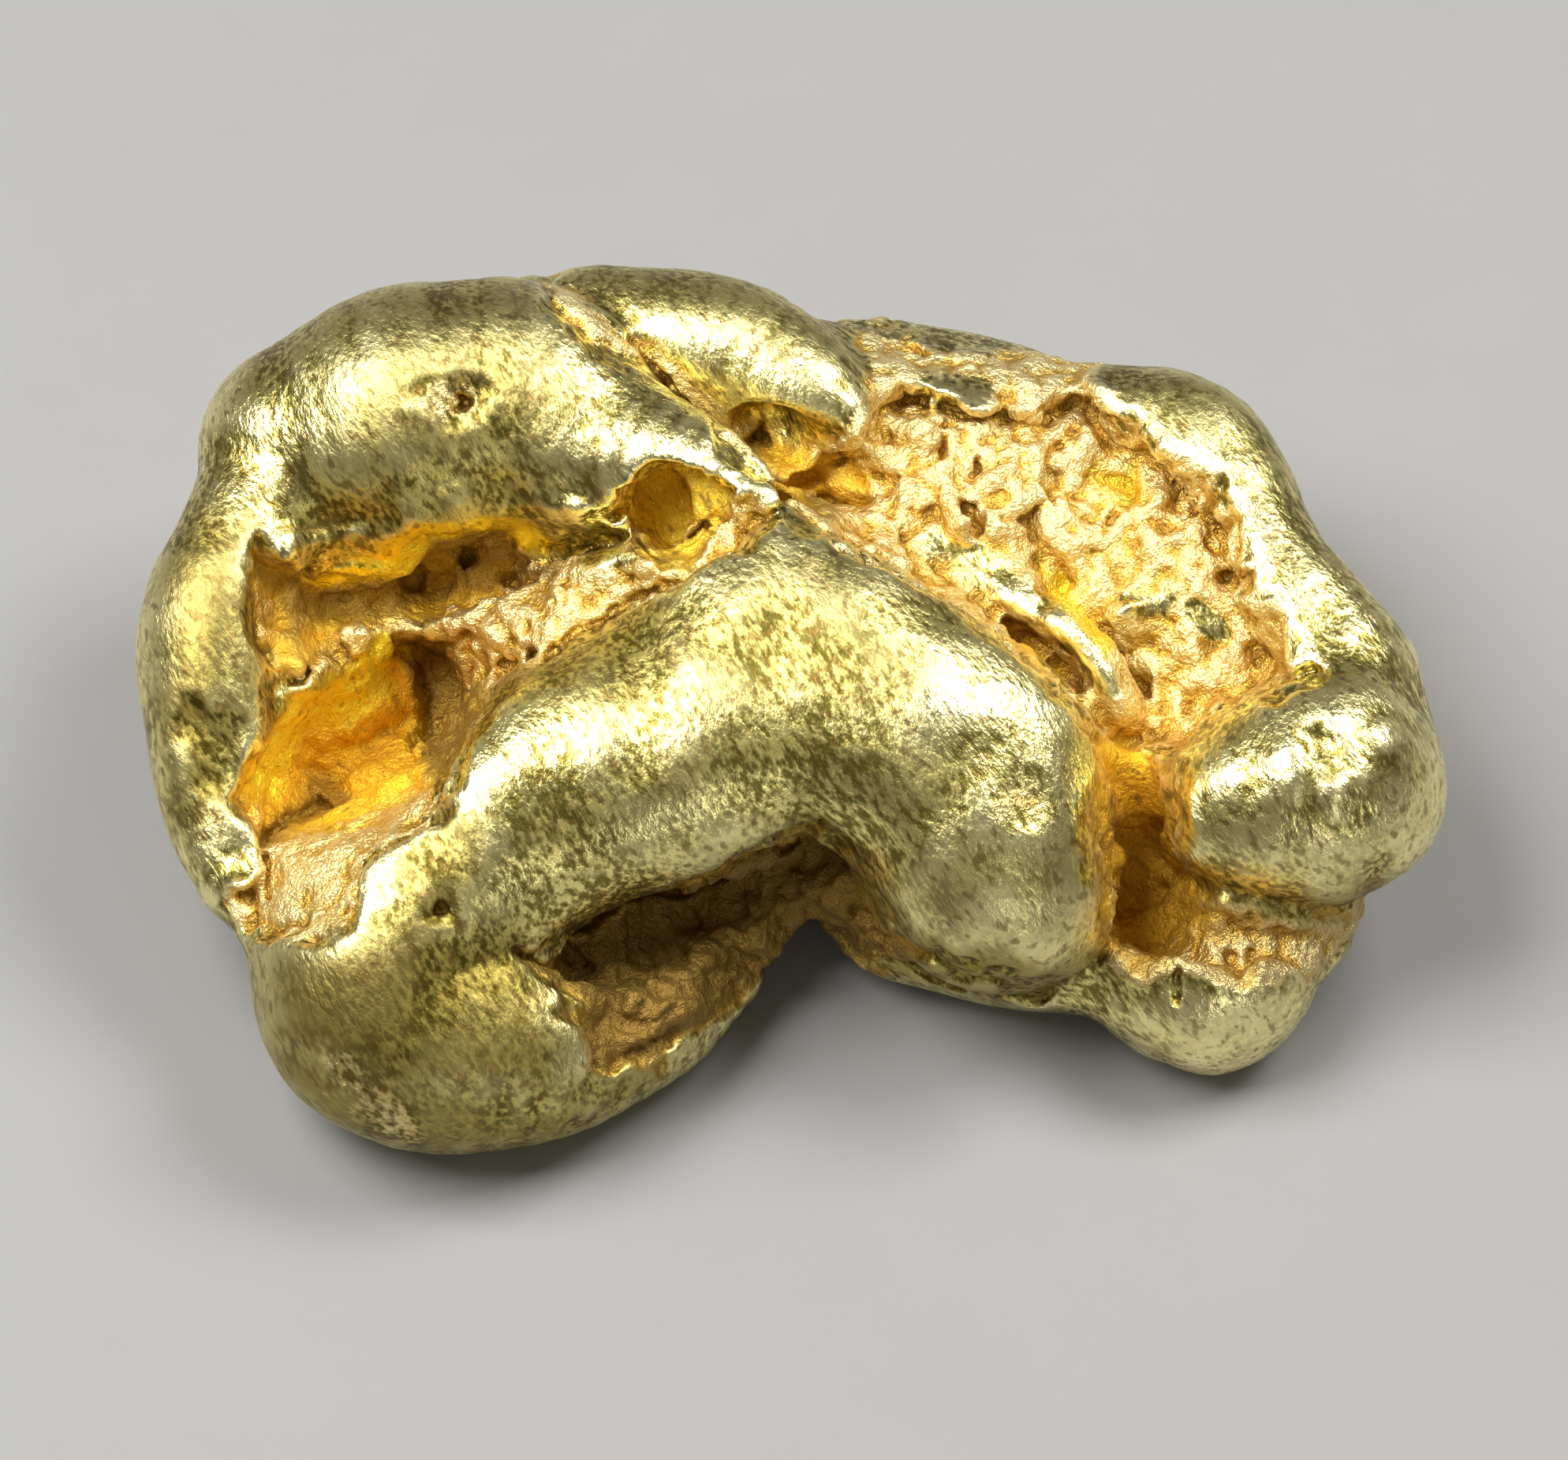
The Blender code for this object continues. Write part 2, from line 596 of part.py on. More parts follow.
def stand_on_table(obj):
    """Leans the face back and puts the nugget's middle over the origin, its lowest lobes just below."""
    p = vertex_values(obj.data, "co")
    lean = p[:, 1] * math.sin(FACE_LEAN) - p[:, 2] * math.cos(FACE_LEAN)
    p = np.stack([p[:, 0], lean, table_height(p)], axis=1)
    p -= (MIDDLE_ACROSS, MIDDLE_BACK, REST_CUT)
    set_places(obj.data, p * LENGTH / FACE_SPAN)


def thin_to_facets(obj):
    triangles = 2 * len(obj.data.polygons)
    apply_modifier(obj, "DECIMATE", ratio=MOST_TRIANGLES / triangles, use_collapse_triangulate=True)


def cut_rest_faces(obj):
    """Cuts the lowest points to small flats at zero, on which the nugget rests."""
    bm = bmesh.new()
    bm.from_mesh(obj.data)
    everything = bm.verts[:] + bm.edges[:] + bm.faces[:]
    cut = bmesh.ops.bisect_plane(bm, geom=everything, plane_co=(0, 0, 0), plane_no=(0, 0, 1),
                                 clear_inner=True)
    rims = [edge for edge in cut["geom_cut"] if isinstance(edge, bmesh.types.BMEdge)]
    flats = bmesh.ops.edgenet_fill(bm, edges=rims)["faces"]
    bmesh.ops.triangulate(bm, faces=flats)
    bmesh.ops.recalc_face_normals(bm, faces=bm.faces)
    bm.to_mesh(obj.data)
    bm.free()


def main():
    clear_scene()
    nugget = pressed_ball()
    stand_on_table(nugget)
    thin_to_facets(nugget)
    cut_rest_faces(nugget)
    nugget.data.materials.append(gold_material())
    nugget.data.shade_smooth()
    nugget.data.set_sharp_from_angle(angle=CRISP_ANGLE)
    parts = bpy.data.collections.new("gold_nugget")
    bpy.context.scene.collection.children.link(parts)
    for collection in nugget.users_collection:
        collection.objects.unlink(nugget)
    parts.objects.link(nugget)


main()
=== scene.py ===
"""The gold nugget, dressed: its worn lobes, crumbly hollows and pits as one fine mesh, its metal,
and the table, lights and camera that show it. It is laid out as a Blender add-on and run as a script.

The form is described in the nugget's face frame, in millimetres: u runs along its length, v up
across its broad face, and w out of that face, which leans back from the table.
"""

import math

import bpy
import numpy as np
from mathutils import Matrix, Vector


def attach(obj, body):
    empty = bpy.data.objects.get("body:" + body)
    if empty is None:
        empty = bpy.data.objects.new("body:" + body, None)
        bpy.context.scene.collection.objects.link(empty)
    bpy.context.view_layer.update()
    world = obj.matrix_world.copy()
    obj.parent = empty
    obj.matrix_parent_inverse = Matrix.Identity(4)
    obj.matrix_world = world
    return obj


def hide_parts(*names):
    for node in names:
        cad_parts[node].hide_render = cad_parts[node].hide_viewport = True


bl_info = {
    "name": "Gold Nugget",
    "version": (1, 0, 0),
    "blender": (4, 5, 0),
    "location": "View3D > Sidebar > Nugget",
    "description": "Makes a worn natural gold nugget and a stage to show it on",
    "category": "Object",
}

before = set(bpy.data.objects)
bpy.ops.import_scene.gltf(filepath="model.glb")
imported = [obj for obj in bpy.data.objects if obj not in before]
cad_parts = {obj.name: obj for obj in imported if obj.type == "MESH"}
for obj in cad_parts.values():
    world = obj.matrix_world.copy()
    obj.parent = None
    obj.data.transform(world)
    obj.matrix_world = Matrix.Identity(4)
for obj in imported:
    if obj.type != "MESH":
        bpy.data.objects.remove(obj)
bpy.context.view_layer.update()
CAD_NODE = "gold_nugget"

# The face frame, in radians and millimetres, as the solid has it
MM = 0.001
FACE_LEAN = math.radians(55.0)
FACE_HEIGHT = 3.0
REST_CUT = 0.03
MIDDLE_ACROSS = 0.025
MIDDLE_BACK = 0.275

# Making, in millimetres unless said otherwise
SPAN_PARTS = 4
REACH = 1.2
RELIEF_FLOOR = -2.8
RELIEF_LOWEST = 0.2
RELIEF_FADE = 1.0
MOST_TRIANGLES = 192000

# size, depth and seed of the shallow dents all over, and how much deeper they are behind
DENTS = ((1.3, 0.07, 0.0), (0.6, 0.03, 7.0))
BACK_DENTS = 3.0
# size, reach and seed of the unevenness of every outline and line of the relief
WANDER = ((0.6, 0.2, 41.0), (0.22, 0.08, 47.0))
# voxel size as a share of the finest, longest step onto the form, passes
PRESSES = ((2.4, 0.3, 2), (1.5, 0.12, 2), (1.0, 0.06, 3))
# How far a vertex stands out of its neighbourhood counts over this range, smoothed this many times
RAISED_RANGE = 0.1
RAISED_ROUNDS = 12
MERGE_DISTANCE = 1e-7

# Any uneven numbers here scatter the noise well
CELL_TURNS = np.array([[127.1, 269.5, 113.5], [311.7, 183.3, 271.9], [74.7, 246.1, 124.6]])
CELL_STRETCH = 43758.5453

# The streaks of wear run down to the right across the face, this far from its upright
STREAK_ANGLE = math.radians(30.0)
STREAK_TURN = (Matrix.Rotation(math.pi / 2 - FACE_LEAN, 3, "X") @
               Matrix.Rotation(STREAK_ANGLE, 3, "Z")).to_euler()
STREAK_STRETCH = (1.0, 2.2, 1.0)

# The metal. Sizes are in millimetres and scales per millimetre; noises are given as detail and
# roughness, and ramps as the values where they begin and end
GRAIN_SIZE = 0.085
GRAIN_NOISE = (3.0, 0.6)
GRAIN_RAMP = (0.42, 0.59)
MOTTLE_SIZE = 0.35
MOTTLE_NOISE = (3.0, 0.55)
MOTTLING = 0.3
FLECK_COARSENESS = 1.25
FLECK_NOISE = (1.0, 0.5)
FLECK_RAMP = (0.44, 0.3)
SPOT_SCALE = 1.6
SPOT_NOISE = (4.0, 0.65)
SPOT_RAMP = (0.6, 0.7)
SPOT_SHARE = 0.6
POWDER_SCALE = 11.0
POWDER_NOISE = (3.0, 0.65)
# How ragged the grain makes the edge of a matt area, and how soft that edge is
MATT_RAGGEDNESS = 2.5
MATT_RAMP = (0.2, 0.8)
# Where metal that stands out is rubbed pale, crumb tops turn light over painted shade in their gaps, and
# creases are painted darker, partly dirt and partly painted shade
RUBBED_RAMP = (0.55, 0.9)
CRUMB_RAMP = (0.25, 0.7)
CREASE_RAMP = (0.34, 0.05)
# Shares of dirt and painted shade in creases and of dark flecks, and how much less of each where it is
# deep or matt
CREASE_DARKENING = 0.6
CREASE_LESS_DEEP = 0.4
FLECK_SHARE = 0.6
FLECK_LESS_MATT = 0.5
# How much rougher the metal is between its grains and on the duller stretches, which also get painted
# shade, then how rough and how metallic it is where it is matt or deep
GRAIN_ROUGHER = 0.12
DULL_ROUGHER = 0.27
MATT_ROUGHNESS = 0.33
DEEP_ROUGHNESS = 0.5
MATT_METALLIC = 0.85
DEEP_METALLIC = 0.6
SPECULAR_LEVEL = 0.15
# Where a mix node has its share, first and second inputs and its result, for each kind of data
MIX_SOCKETS = {"RGBA": ((0, 6, 7), 2), "FLOAT": ((0, 2, 3), 0)}

# Stage, in metres, but for the camera's sensor, which is in millimetres, and the centre of its
# view, which is a point of the face frame
FLOOR_SIZE = 0.8
SENSOR_WIDTH = 36.0
VIEW_WIDTH = 0.0192
VIEW_TRANSFORM = "Standard"
VIEW_CENTRE = (-0.058, -0.246, 0.0)
NEAREST_SHARE = 0.01
LIGHT_TARGET = (0.0, 0.0, 0.003)
SKY_COLOUR = (1.0, 0.97, 0.9, 1.0)
FLOOR_TONE_SCALE = 0.4
FLOOR_TONE_NOISE = (4.0, 0.6)
FLOOR_SHADE = 0.94
FLOOR_ROUGHNESS = (0.55, 0.7)
# name, direction from the nugget, distance, size, share of the light power
LIGHTS = (
    ("left_softbox", (-0.47, -0.02, 0.88), 0.12, 0.07, 1.0),
    ("right_softbox", (0.5, 0.22, 0.84), 0.14, 0.06, 0.8),
    ("front_strip", (0.35, -0.87, 0.36), 0.16, 0.07, 0.11),
)

# Folds of metal: how far each blends into the rest, then its centre line as u, v, w and radius
FOLDS = {
    "core": (0.6, [
        (-4.9, 0.8, -2.1, 1.75),
        (-2.6, 1.4, -2.0, 1.8),
        (-0.6, 1.7, -2.2, 2.0),
        (1.3, 2.0, -2.3, 2.3),
        (3.0, 1.9, -2.1, 2.2),
        (4.4, 1.5, -1.8, 2.05),
        (5.6, 0.0, -1.2, 1.6),
    ]),
    "belly": (0.6, [
        (-6.2, -0.5, -0.6, 1.15),
        (-5.3, -0.8, -1.0, 1.3),
        (-3.4, -0.5, -1.0, 1.5),
        (0.0, -0.3, -1.1, 1.5),
        (3.2, -0.9, -0.9, 1.5),
        (5.2, -1.3, -0.6, 1.3),
    ]),
    "left_wall": (0.4, [
        (-6.5, 1.0, -1.1, 1.0),
        (-6.5, -0.2, -0.6, 1.1),
        (-6.15, -1.35, -0.2, 1.1),
        (-5.5, -2.0, 0.1, 1.0),
    ]),
    "shoulder": (0.2, [
        (-5.85, 3.2, -1.2, 1.45),
        (-4.6, 3.55, -1.0, 1.7),
        (-3.35, 3.73, -0.9, 1.57),
        (-2.3, 3.25, -0.3, 1.08),
        (-1.1, 2.85, 0.35, 0.68),
        (-0.45, 2.55, 0.75, 0.38),
        (-0.1, 2.4, 0.9, 0.2),
    ]),
    "back_ridge": (0.12, [
        (-3.1, 4.65, -2.1, 0.8),
        (-2.0, 4.5, -1.8, 1.0),
        (-0.9, 4.35, -1.6, 1.05),
        (0.0, 4.0, -1.2, 0.85),
        (0.5, 3.7, -0.9, 0.55),
        (0.9, 3.45, -0.7, 0.28),
    ]),
    "back": (0.4, [
        (0.2, 3.5, -2.5, 1.4),
        (1.6, 3.2, -2.5, 1.4),
        (3.2, 3.05, -2.4, 1.33),
        (4.5, 3.05, -2.15, 1.2),
    ]),
    "back_spur": (0.25, [
        (4.6, 3.1, -2.8, 0.9),
        (3.2, 3.0, -3.6, 0.75),
        (1.8, 2.7, -3.9, 0.75),
        (0.2, 2.5, -3.9, 0.65),
        (-1.2, 2.2, -3.6, 0.5),
    ]),
    "left_back": (0.3, [
        (-6.0, 1.9, -1.9, 1.2),
        (-4.8, 2.6, -2.6, 1.3),
        (-3.2, 2.8, -3.0, 1.2),
    ]),
    "left_rim": (0.4, [
        (-6.6, 2.3, -0.5, 0.85),
        (-7.0, 1.2, -0.1, 0.92),
        (-7.1, 0.5, 0.05, 0.9),
        (-7.05, -0.4, 0.2, 0.75),
        (-6.95, -1.2, 0.3, 0.65),
        (-6.75, -2.1, 0.5, 0.5),
    ]),
    "sill": (0.3, [
        (-6.45, -2.3, 0.6, 0.45),
        (-5.7, -2.1, 0.9, 0.6),
        (-4.9, -1.75, 1.05, 0.6),
        (-4.3, -1.4, 1.1, 0.5),
    ]),
    "crumb_bank": (0.15, [
        (-4.2, 1.1, -0.7, 0.4),
        (-3.6, 0.95, -0.2, 0.5),
        (-2.8, 1.25, 0.1, 0.5),
        (-2.0, 1.5, 0.25, 0.5),
        (-1.4, 1.8, 0.4, 0.45),
        (-0.7, 2.15, 0.5, 0.4),
        (0.1, 2.2, 0.3, 0.4),
    ]),
    "left_foot": (0.5, [
        (-4.0, -1.7, 0.9, 1.2),
        (-4.75, -2.7, 0.75, 1.65),
        (-4.8, -3.5, 0.7, 1.7),
        (-4.0, -3.9, 0.75, 1.5),
        (-2.8, -4.0, 0.5, 1.15),
        (-1.8, -3.75, 0.1, 0.85),
        (-0.9, -3.2, -0.3, 0.55),
    ]),
    "web": (0.3, [
        (-2.6, -3.2, -0.4, 1.0),
        (-1.2, -2.5, -0.6, 0.9),
        (0.2, -1.75, -0.6, 0.85),
        (1.3, -2.2, -0.7, 0.85),
        (2.6, -2.65, -0.55, 0.85),
        (4.0, -2.55, -0.45, 0.87),
    ]),
    "arch_front": (0.9, [
        (-3.6, -1.9, 0.9, 1.1),
        (-2.9, -1.5, 1.0, 1.1),
        (-2.2, -1.2, 1.05, 1.15),
        (-1.2, -0.95, 1.05, 1.15),
        (0.1, -0.35, 1.0, 1.2),
        (1.3, -0.8, 1.05, 1.2),
        (2.0, -1.6, 1.05, 1.2),
        (2.4, -2.15, 0.95, 1.15),
    ]),
    "arch_back": (0.9, [
        (-3.4, -1.3, 0.8, 1.0),
        (-2.9, -0.7, 0.85, 1.2),
        (-1.3, 0.05, 0.75, 1.25),
        (-0.2, 1.0, 0.6, 1.3),
        (0.5, 0.8, 0.65, 1.35),
        (1.35, 0.3, 0.7, 1.35),
        (2.1, -0.25, 0.8, 1.35),
        (2.6, -0.85, 0.9, 1.25),
        (2.7, -1.5, 1.0, 1.15),
        (2.85, -2.1, 0.9, 1.15),
    ]),
    "right_foot": (0.3, [
        (1.3, -2.75, -0.7, 0.55),
        (2.6, -3.0, -0.4, 0.65),
        (3.9, -3.1, -0.1, 0.75),
        (5.1, -3.25, 0.0, 1.22),
        (5.7, -2.9, -0.1, 1.0),
        (6.5, -2.4, -0.2, 0.65),
    ]),
    "right_lobe": (0.2, [
        (5.35, -1.2, 0.55, 0.9),
        (6.4, -1.0, 0.4, 1.45),
        (6.6, -0.7, 0.1, 1.4),
    ]),
    "right_rim": (0.3, [
        (4.1, 3.45, -1.7, 0.75),
        (4.95, 3.2, -1.4, 0.88),
        (5.35, 2.7, -1.1, 0.88),
        (5.75, 2.0, -0.7, 0.8),
        (6.25, 1.2, -0.3, 0.8),
        (6.75, 0.3, -0.1, 1.0),
    ]),
    "spur": (0.12, [
        (2.4, 1.6, -0.2, 0.4),
        (3.1, 1.25, 0.2, 0.4),
        (3.7, 0.65, 0.45, 0.35),
        (4.1, -0.05, 0.45, 0.25),
    ]),
}

# Hollows bored into the folds, given in the same way
HOLLOWS = {
    "big_pit": (0.12, [
        (-6.1, -0.9, 1.0, 0.5),
        (-5.5, -0.6, 0.5, 0.8),
        (-4.9, -0.1, 0.2, 0.85),
        (-4.6, 0.1, 0.1, 0.75),
    ]),
    "upper_pit": (0.12, [
        (-6.1, 1.5, 0.8, 0.5),
        (-6.0, 0.9, 0.5, 0.5),
        (-5.3, 1.2, 0.3, 0.4),
    ]),
    "slot": (0.1, [
        (-5.3, 1.25, -0.1, 0.35),
        (-4.6, 1.45, -0.35, 0.42),
        (-4.0, 1.6, -0.35, 0.42),
        (-3.2, 1.65, 0.1, 0.28),
    ]),
    "channel": (0.12, [
        (4.15, -0.6, 1.2, 0.3),
        (4.2, -1.2, 0.9, 0.4),
        (4.25, -1.9, 0.6, 0.42),
        (4.4, -2.6, 0.7, 0.5),
        (5.2, -2.75, 1.0, 0.35),
        (6.4, -2.75, 0.9, 0.25),
    ]),
    "under_arch": (0.15, [
        (-2.6, -2.95, 0.9, 0.45),
        (-1.7, -2.65, 0.65, 0.55),
        (-0.6, -2.2, 0.55, 0.5),
        (0.3, -1.9, 0.6, 0.45),
    ]),
    "back_gap": (0.2, [
        (-1.6, 3.6, -4.6, 0.7),
        (-0.2, 3.6, -4.2, 0.5),
        (1.0, 3.7, -4.1, 0.35),
    ]),
    "rest_hollow": (0.4, [
        (-2.4, -1.3, -3.3, 1.2),
        (0.4, -1.5, -3.5, 1.5),
        (3.2, -1.6, -3.2, 1.2),
    ]),
    "pocket": (0.08, [
        (-1.5, 2.6, 0.75, 0.45),
        (-1.4, 2.2, 0.7, 0.4),
    ]),
    "under_ridge": (0.1, [
        (-0.3, 3.45, -0.8, 0.42),
        (0.1, 3.1, -0.3, 0.55),
        (0.8, 2.85, 0.0, 0.5),
    ]),
}

# Ledges: how far each area of the face stands out or sinks, how soft its edge is, and its outline
LEDGES = {
    "arch_plate": (0.12, 0.1, [
        (-0.15, 2.35), (0.75, 1.95), (1.75, 1.35), (2.5, 0.87), (3.2, 0.4), (3.7, -0.3),
        (3.83, -1.0), (3.83, -1.9), (3.95, -2.6), (3.95, -2.95), (3.7, -3.2), (3.0, -3.35),
        (2.1, -3.25), (1.5, -3.0), (1.15, -2.55), (0.95, -2.05), (0.65, -1.6), (0.3, -1.4),
        (-0.75, -1.85), (-1.95, -2.33), (-2.9, -2.7), (-3.1, -2.95), (-2.65, -3.45), (-2.5, -4.6),
        (-3.0, -6.0), (-7.5, -6.0), (-7.0, -2.9), (-6.1, -2.85), (-5.7, -2.75), (-5.35, -2.4),
        (-5.2, -2.0), (-4.3, -1.3), (-4.0, -0.7), (-3.7, -0.05), (-3.3, 0.5), (-2.5, 0.97),
        (-1.65, 1.3), (-0.8, 1.95),
    ]),
    "lobe_plate": (0.12, 0.1, [
        (4.45, -0.6), (5.3, -0.15), (6.3, 0.3), (7.0, 0.4), (8.2, -0.3), (8.2, -1.5), (7.2, -2.3),
        (6.2, -2.65), (5.3, -2.4), (4.9, -1.9), (4.6, -1.2),
    ]),
    "cavity_floor": (-0.45, 0.18, [
        (-6.45, 2.0), (-5.9, 1.5), (-5.0, 1.6), (-4.6, 2.05), (-4.0, 2.2), (-3.2, 2.05),
        (-2.3, 1.95), (-3.0, 1.5), (-3.4, 1.2), (-3.3, 0.5), (-3.8, 0.1), (-4.0, -0.5),
        (-4.3, -1.2), (-5.3, -1.5), (-6.4, -1.7), (-6.75, -1.1), (-6.4, -0.5), (-6.4, 0.4),
        (-6.55, 1.0),
    ]),
    "big_cavity": (-0.5, 0.15, [
        (-5.3, 0.6), (-4.6, 0.9), (-4.0, 0.9), (-3.85, 0.15), (-4.05, -0.4), (-4.4, -1.1),
        (-5.0, -1.35), (-6.0, -1.6), (-6.4, -1.7), (-6.7, -1.1), (-6.45, -0.6), (-6.0, 0.1),
    ]),
    "cavity_end": (-0.9, 0.1, [
        (-4.75, 0.8), (-4.15, 0.85), (-3.95, 0.3), (-4.1, -0.35), (-4.35, -0.7), (-4.6, -0.3),
        (-4.65, 0.2),
    ]),
    "sill": (-0.3, 0.12, [
        (-4.2, -0.9), (-4.3, -1.3), (-4.8, -1.7), (-5.2, -2.0), (-5.35, -2.4), (-5.7, -2.75),
        (-6.1, -2.85), (-6.5, -2.75), (-6.7, -2.3), (-6.35, -1.8), (-5.6, -1.5), (-5.0, -1.3),
    ]),
    "worn_hollow": (-0.6, 0.1, [
        (0.9, 3.3), (1.3, 4.0), (2.2, 3.7), (3.6, 3.8), (4.5, 3.2), (5.4, 2.5), (5.7, 1.7),
        (5.6, 1.3), (6.1, 0.4), (5.3, 0.0), (4.4, -0.4), (3.85, -0.5), (3.7, -0.25), (3.2, 0.42),
        (2.5, 0.9), (1.75, 1.38), (0.77, 1.97), (-0.1, 2.4), (-0.2, 2.7),
    ]),
    "channel_mouth": (-0.3, 0.25, [
        (3.8, -0.1), (4.1, 0.0), (4.4, -0.5), (4.7, -1.3), (5.1, -2.2), (4.6, -3.0), (3.9, -2.8),
        (3.8, -1.6),
    ]),
    "channel": (-0.3, 0.08, [
        (3.84, -0.6), (4.1, -0.4), (4.38, -0.6), (4.62, -1.3), (4.9, -2.0), (5.1, -2.4),
        (4.6, -3.0), (4.0, -2.9), (3.85, -1.9),
    ]),
    "channel_pit": (-0.35, 0.08, [
        (3.85, -1.5), (4.2, -1.35), (4.6, -1.5), (4.85, -2.0), (4.7, -2.5), (4.1, -2.7),
        (3.85, -2.1),
    ]),
    "pocket": (-0.8, 0.08, [
        (-2.0, 2.35), (-1.95, 2.65), (-1.65, 2.95), (-1.1, 3.0), (-0.85, 2.7), (-0.9, 2.3),
        (-1.35, 1.8), (-1.65, 1.9),
    ]),
    "rim_top": (0.08, 0.25, [
        (3.9, 4.1), (3.6, 3.8), (4.0, 3.5), (4.5, 3.2), (4.9, 2.8), (5.4, 2.5), (5.6, 2.1),
        (5.8, 1.7), (5.6, 1.3), (5.9, 0.9), (6.2, 0.5), (7.4, 0.0), (7.4, 1.2), (6.2, 3.4),
        (5.2, 4.3),
    ]),
}

# Strokes: half width, height (below zero for a groove) and the line each follows
STROKES = {
    "lip": (0.45, 0.22, [
        (-5.9, 1.9), (-5.4, 1.8), (-4.95, 1.95), (-4.6, 2.3), (-4.0, 2.45), (-3.2, 2.25),
        (-2.5, 2.15),
    ]),
    "arch_under_edge": (0.14, -0.35, [
        (3.95, -2.95), (3.7, -3.2), (3.0, -3.38), (2.1, -3.3), (1.5, -3.05), (1.12, -2.6),
        (0.9, -2.05), (0.6, -1.65), (0.3, -1.45), (-0.75, -1.9), (-1.95, -2.38), (-2.9, -2.75),
        (-3.15, -3.0),
    ]),
    "lobe_edge": (0.14, -0.3, [(4.4, -0.5), (5.2, -0.1), (6.1, 0.32), (6.5, 0.42)]),
    "crease": (0.14, -0.25, [
        (-3.15, 5.5), (-2.95, 5.0), (-2.3, 4.45), (-1.45, 3.9), (-0.75, 3.2), (-0.3, 2.8),
        (0.0, 2.5),
    ]),
    "arch_edge": (0.18, -0.3, [
        (-2.9, 0.75), (-1.9, 1.2), (-1.4, 1.6), (-1.05, 1.95), (-0.5, 2.15), (-0.1, 2.35),
        (0.7, 2.05), (1.3, 1.75), (2.0, 1.4),
    ]),
    "slit_spur": (0.25, -0.55, [(2.75, 1.0), (3.1, 0.75), (3.4, 0.4)]),
    "spur_ridge": (0.4, 0.12, [(2.6, 1.35), (3.1, 1.15), (3.5, 0.85), (3.85, 0.4)]),
    "slit_left": (0.15, -0.35, [(-6.4, -1.7), (-6.15, -1.4), (-5.9, -1.1)]),
    "slit_ridge": (0.14, -0.4, [(0.0, 2.55), (0.5, 2.6), (1.0, 2.5)]),
    "slit_hollow": (0.22, -0.3, [(2.85, 2.4), (3.0, 2.05), (3.3, 1.6)]),
    "slit_corner": (0.17, -0.25, [(4.12, 0.7), (4.3, 0.35)]),
    "groove_bank": (0.2, -0.15, [(3.35, 3.2), (3.3, 2.75)]),
    "crease_beads": (0.16, -0.2, [(1.05, 2.9), (1.3, 2.7)]),
    "bank_ridge": (0.25, 0.15, [(3.85, 4.0), (3.4, 3.4)]),
    "rim_dent": (0.45, -0.15, [(-7.05, -0.3), (-6.95, -0.8)]),
    "sill_crack": (0.1, -0.2, [(-6.4, -1.9), (-6.3, -2.3)]),
    "channel_step": (0.14, -0.3, [(4.5, -1.42), (3.95, -1.5), (3.92, -2.0)]),
    "cavity_rim": (0.25, 0.15, [(-6.3, -0.6), (-5.95, 0.0), (-5.4, 0.4), (-4.9, 0.65)]),
    "cavity_recess": (0.3, -0.2, [(-5.75, -0.75), (-5.3, -0.3), (-4.8, 0.0), (-4.3, -0.3)]),
    "shelf_crack": (0.14, -0.12, [(4.85, -3.3), (4.9, -3.7)]),
}

# Dots: u, v, radius and height (below zero for a pit)
DOTS = (
    (-4.0, 3.83, 0.5, -0.1),
    (-4.0, 3.83, 0.16, -0.25),
    (-4.15, -2.35, 0.3, -0.1),
    (-4.15, -2.33, 0.13, -0.15),
    (-4.6, 1.5, 0.22, -0.3),
    (-4.0, 1.95, 0.22, -0.3),
    (-3.3, 1.65, 0.22, -0.3),
    (-3.15, 1.0, 0.18, -0.2),
    (-3.9, 1.2, 0.32, 0.25),
    (-3.65, 0.85, 0.32, 0.3),
    (-6.1, 0.8, 0.35, 0.3),
    (-5.3, 0.75, 0.35, 0.25),
    (-6.0, 0.5, 0.18, -0.3),
    (-0.35, 3.35, 0.25, -0.5),
    (1.8, 3.2, 0.2, -0.25),
    (2.3, 3.1, 0.2, -0.25),
    (5.4, 1.65, 0.22, -0.25),
    (3.9, 1.0, 0.2, -0.25),
    (0.9, 3.3, 0.3, 0.15),
    (1.5, 3.45, 0.3, 0.15),
    (1.95, 2.55, 0.3, 0.2),
    (2.2, 2.3, 0.25, 0.2),
    (3.5, 2.05, 0.3, 0.15),
    (4.2, 1.1, 0.35, 0.2),
    (4.1, 2.75, 0.4, -0.2),
    (3.8, 3.3, 0.35, 0.2),
    (4.55, 2.7, 0.35, 0.15),
    (5.05, 2.3, 0.35, 0.15),
    (4.6, 2.1, 0.3, 0.12),
    (5.6, 0.9, 0.3, 0.12),
    (-6.65, -2.1, 0.32, 0.2),
    (5.22, -2.98, 0.16, -0.2),
    (5.53, -2.98, 0.16, -0.2),
    (6.0, -0.75, 0.5, 0.08),
    (6.75, -1.0, 0.45, 0.1),
    (7.3, -0.45, 0.45, 0.1),
    (6.42, -0.45, 0.3, -0.12),
    (5.1, -0.75, 0.5, 0.06),
    (-2.4, -3.1, 0.25, -0.2),
    (-1.95, -3.35, 0.4, 0.25),
    (-1.2, -3.0, 0.4, 0.2),
    (-0.5, -2.7, 0.35, 0.2),
    (-4.9, -0.75, 0.5, 0.2),
    (-1.5, -3.7, 0.45, 0.2),
)

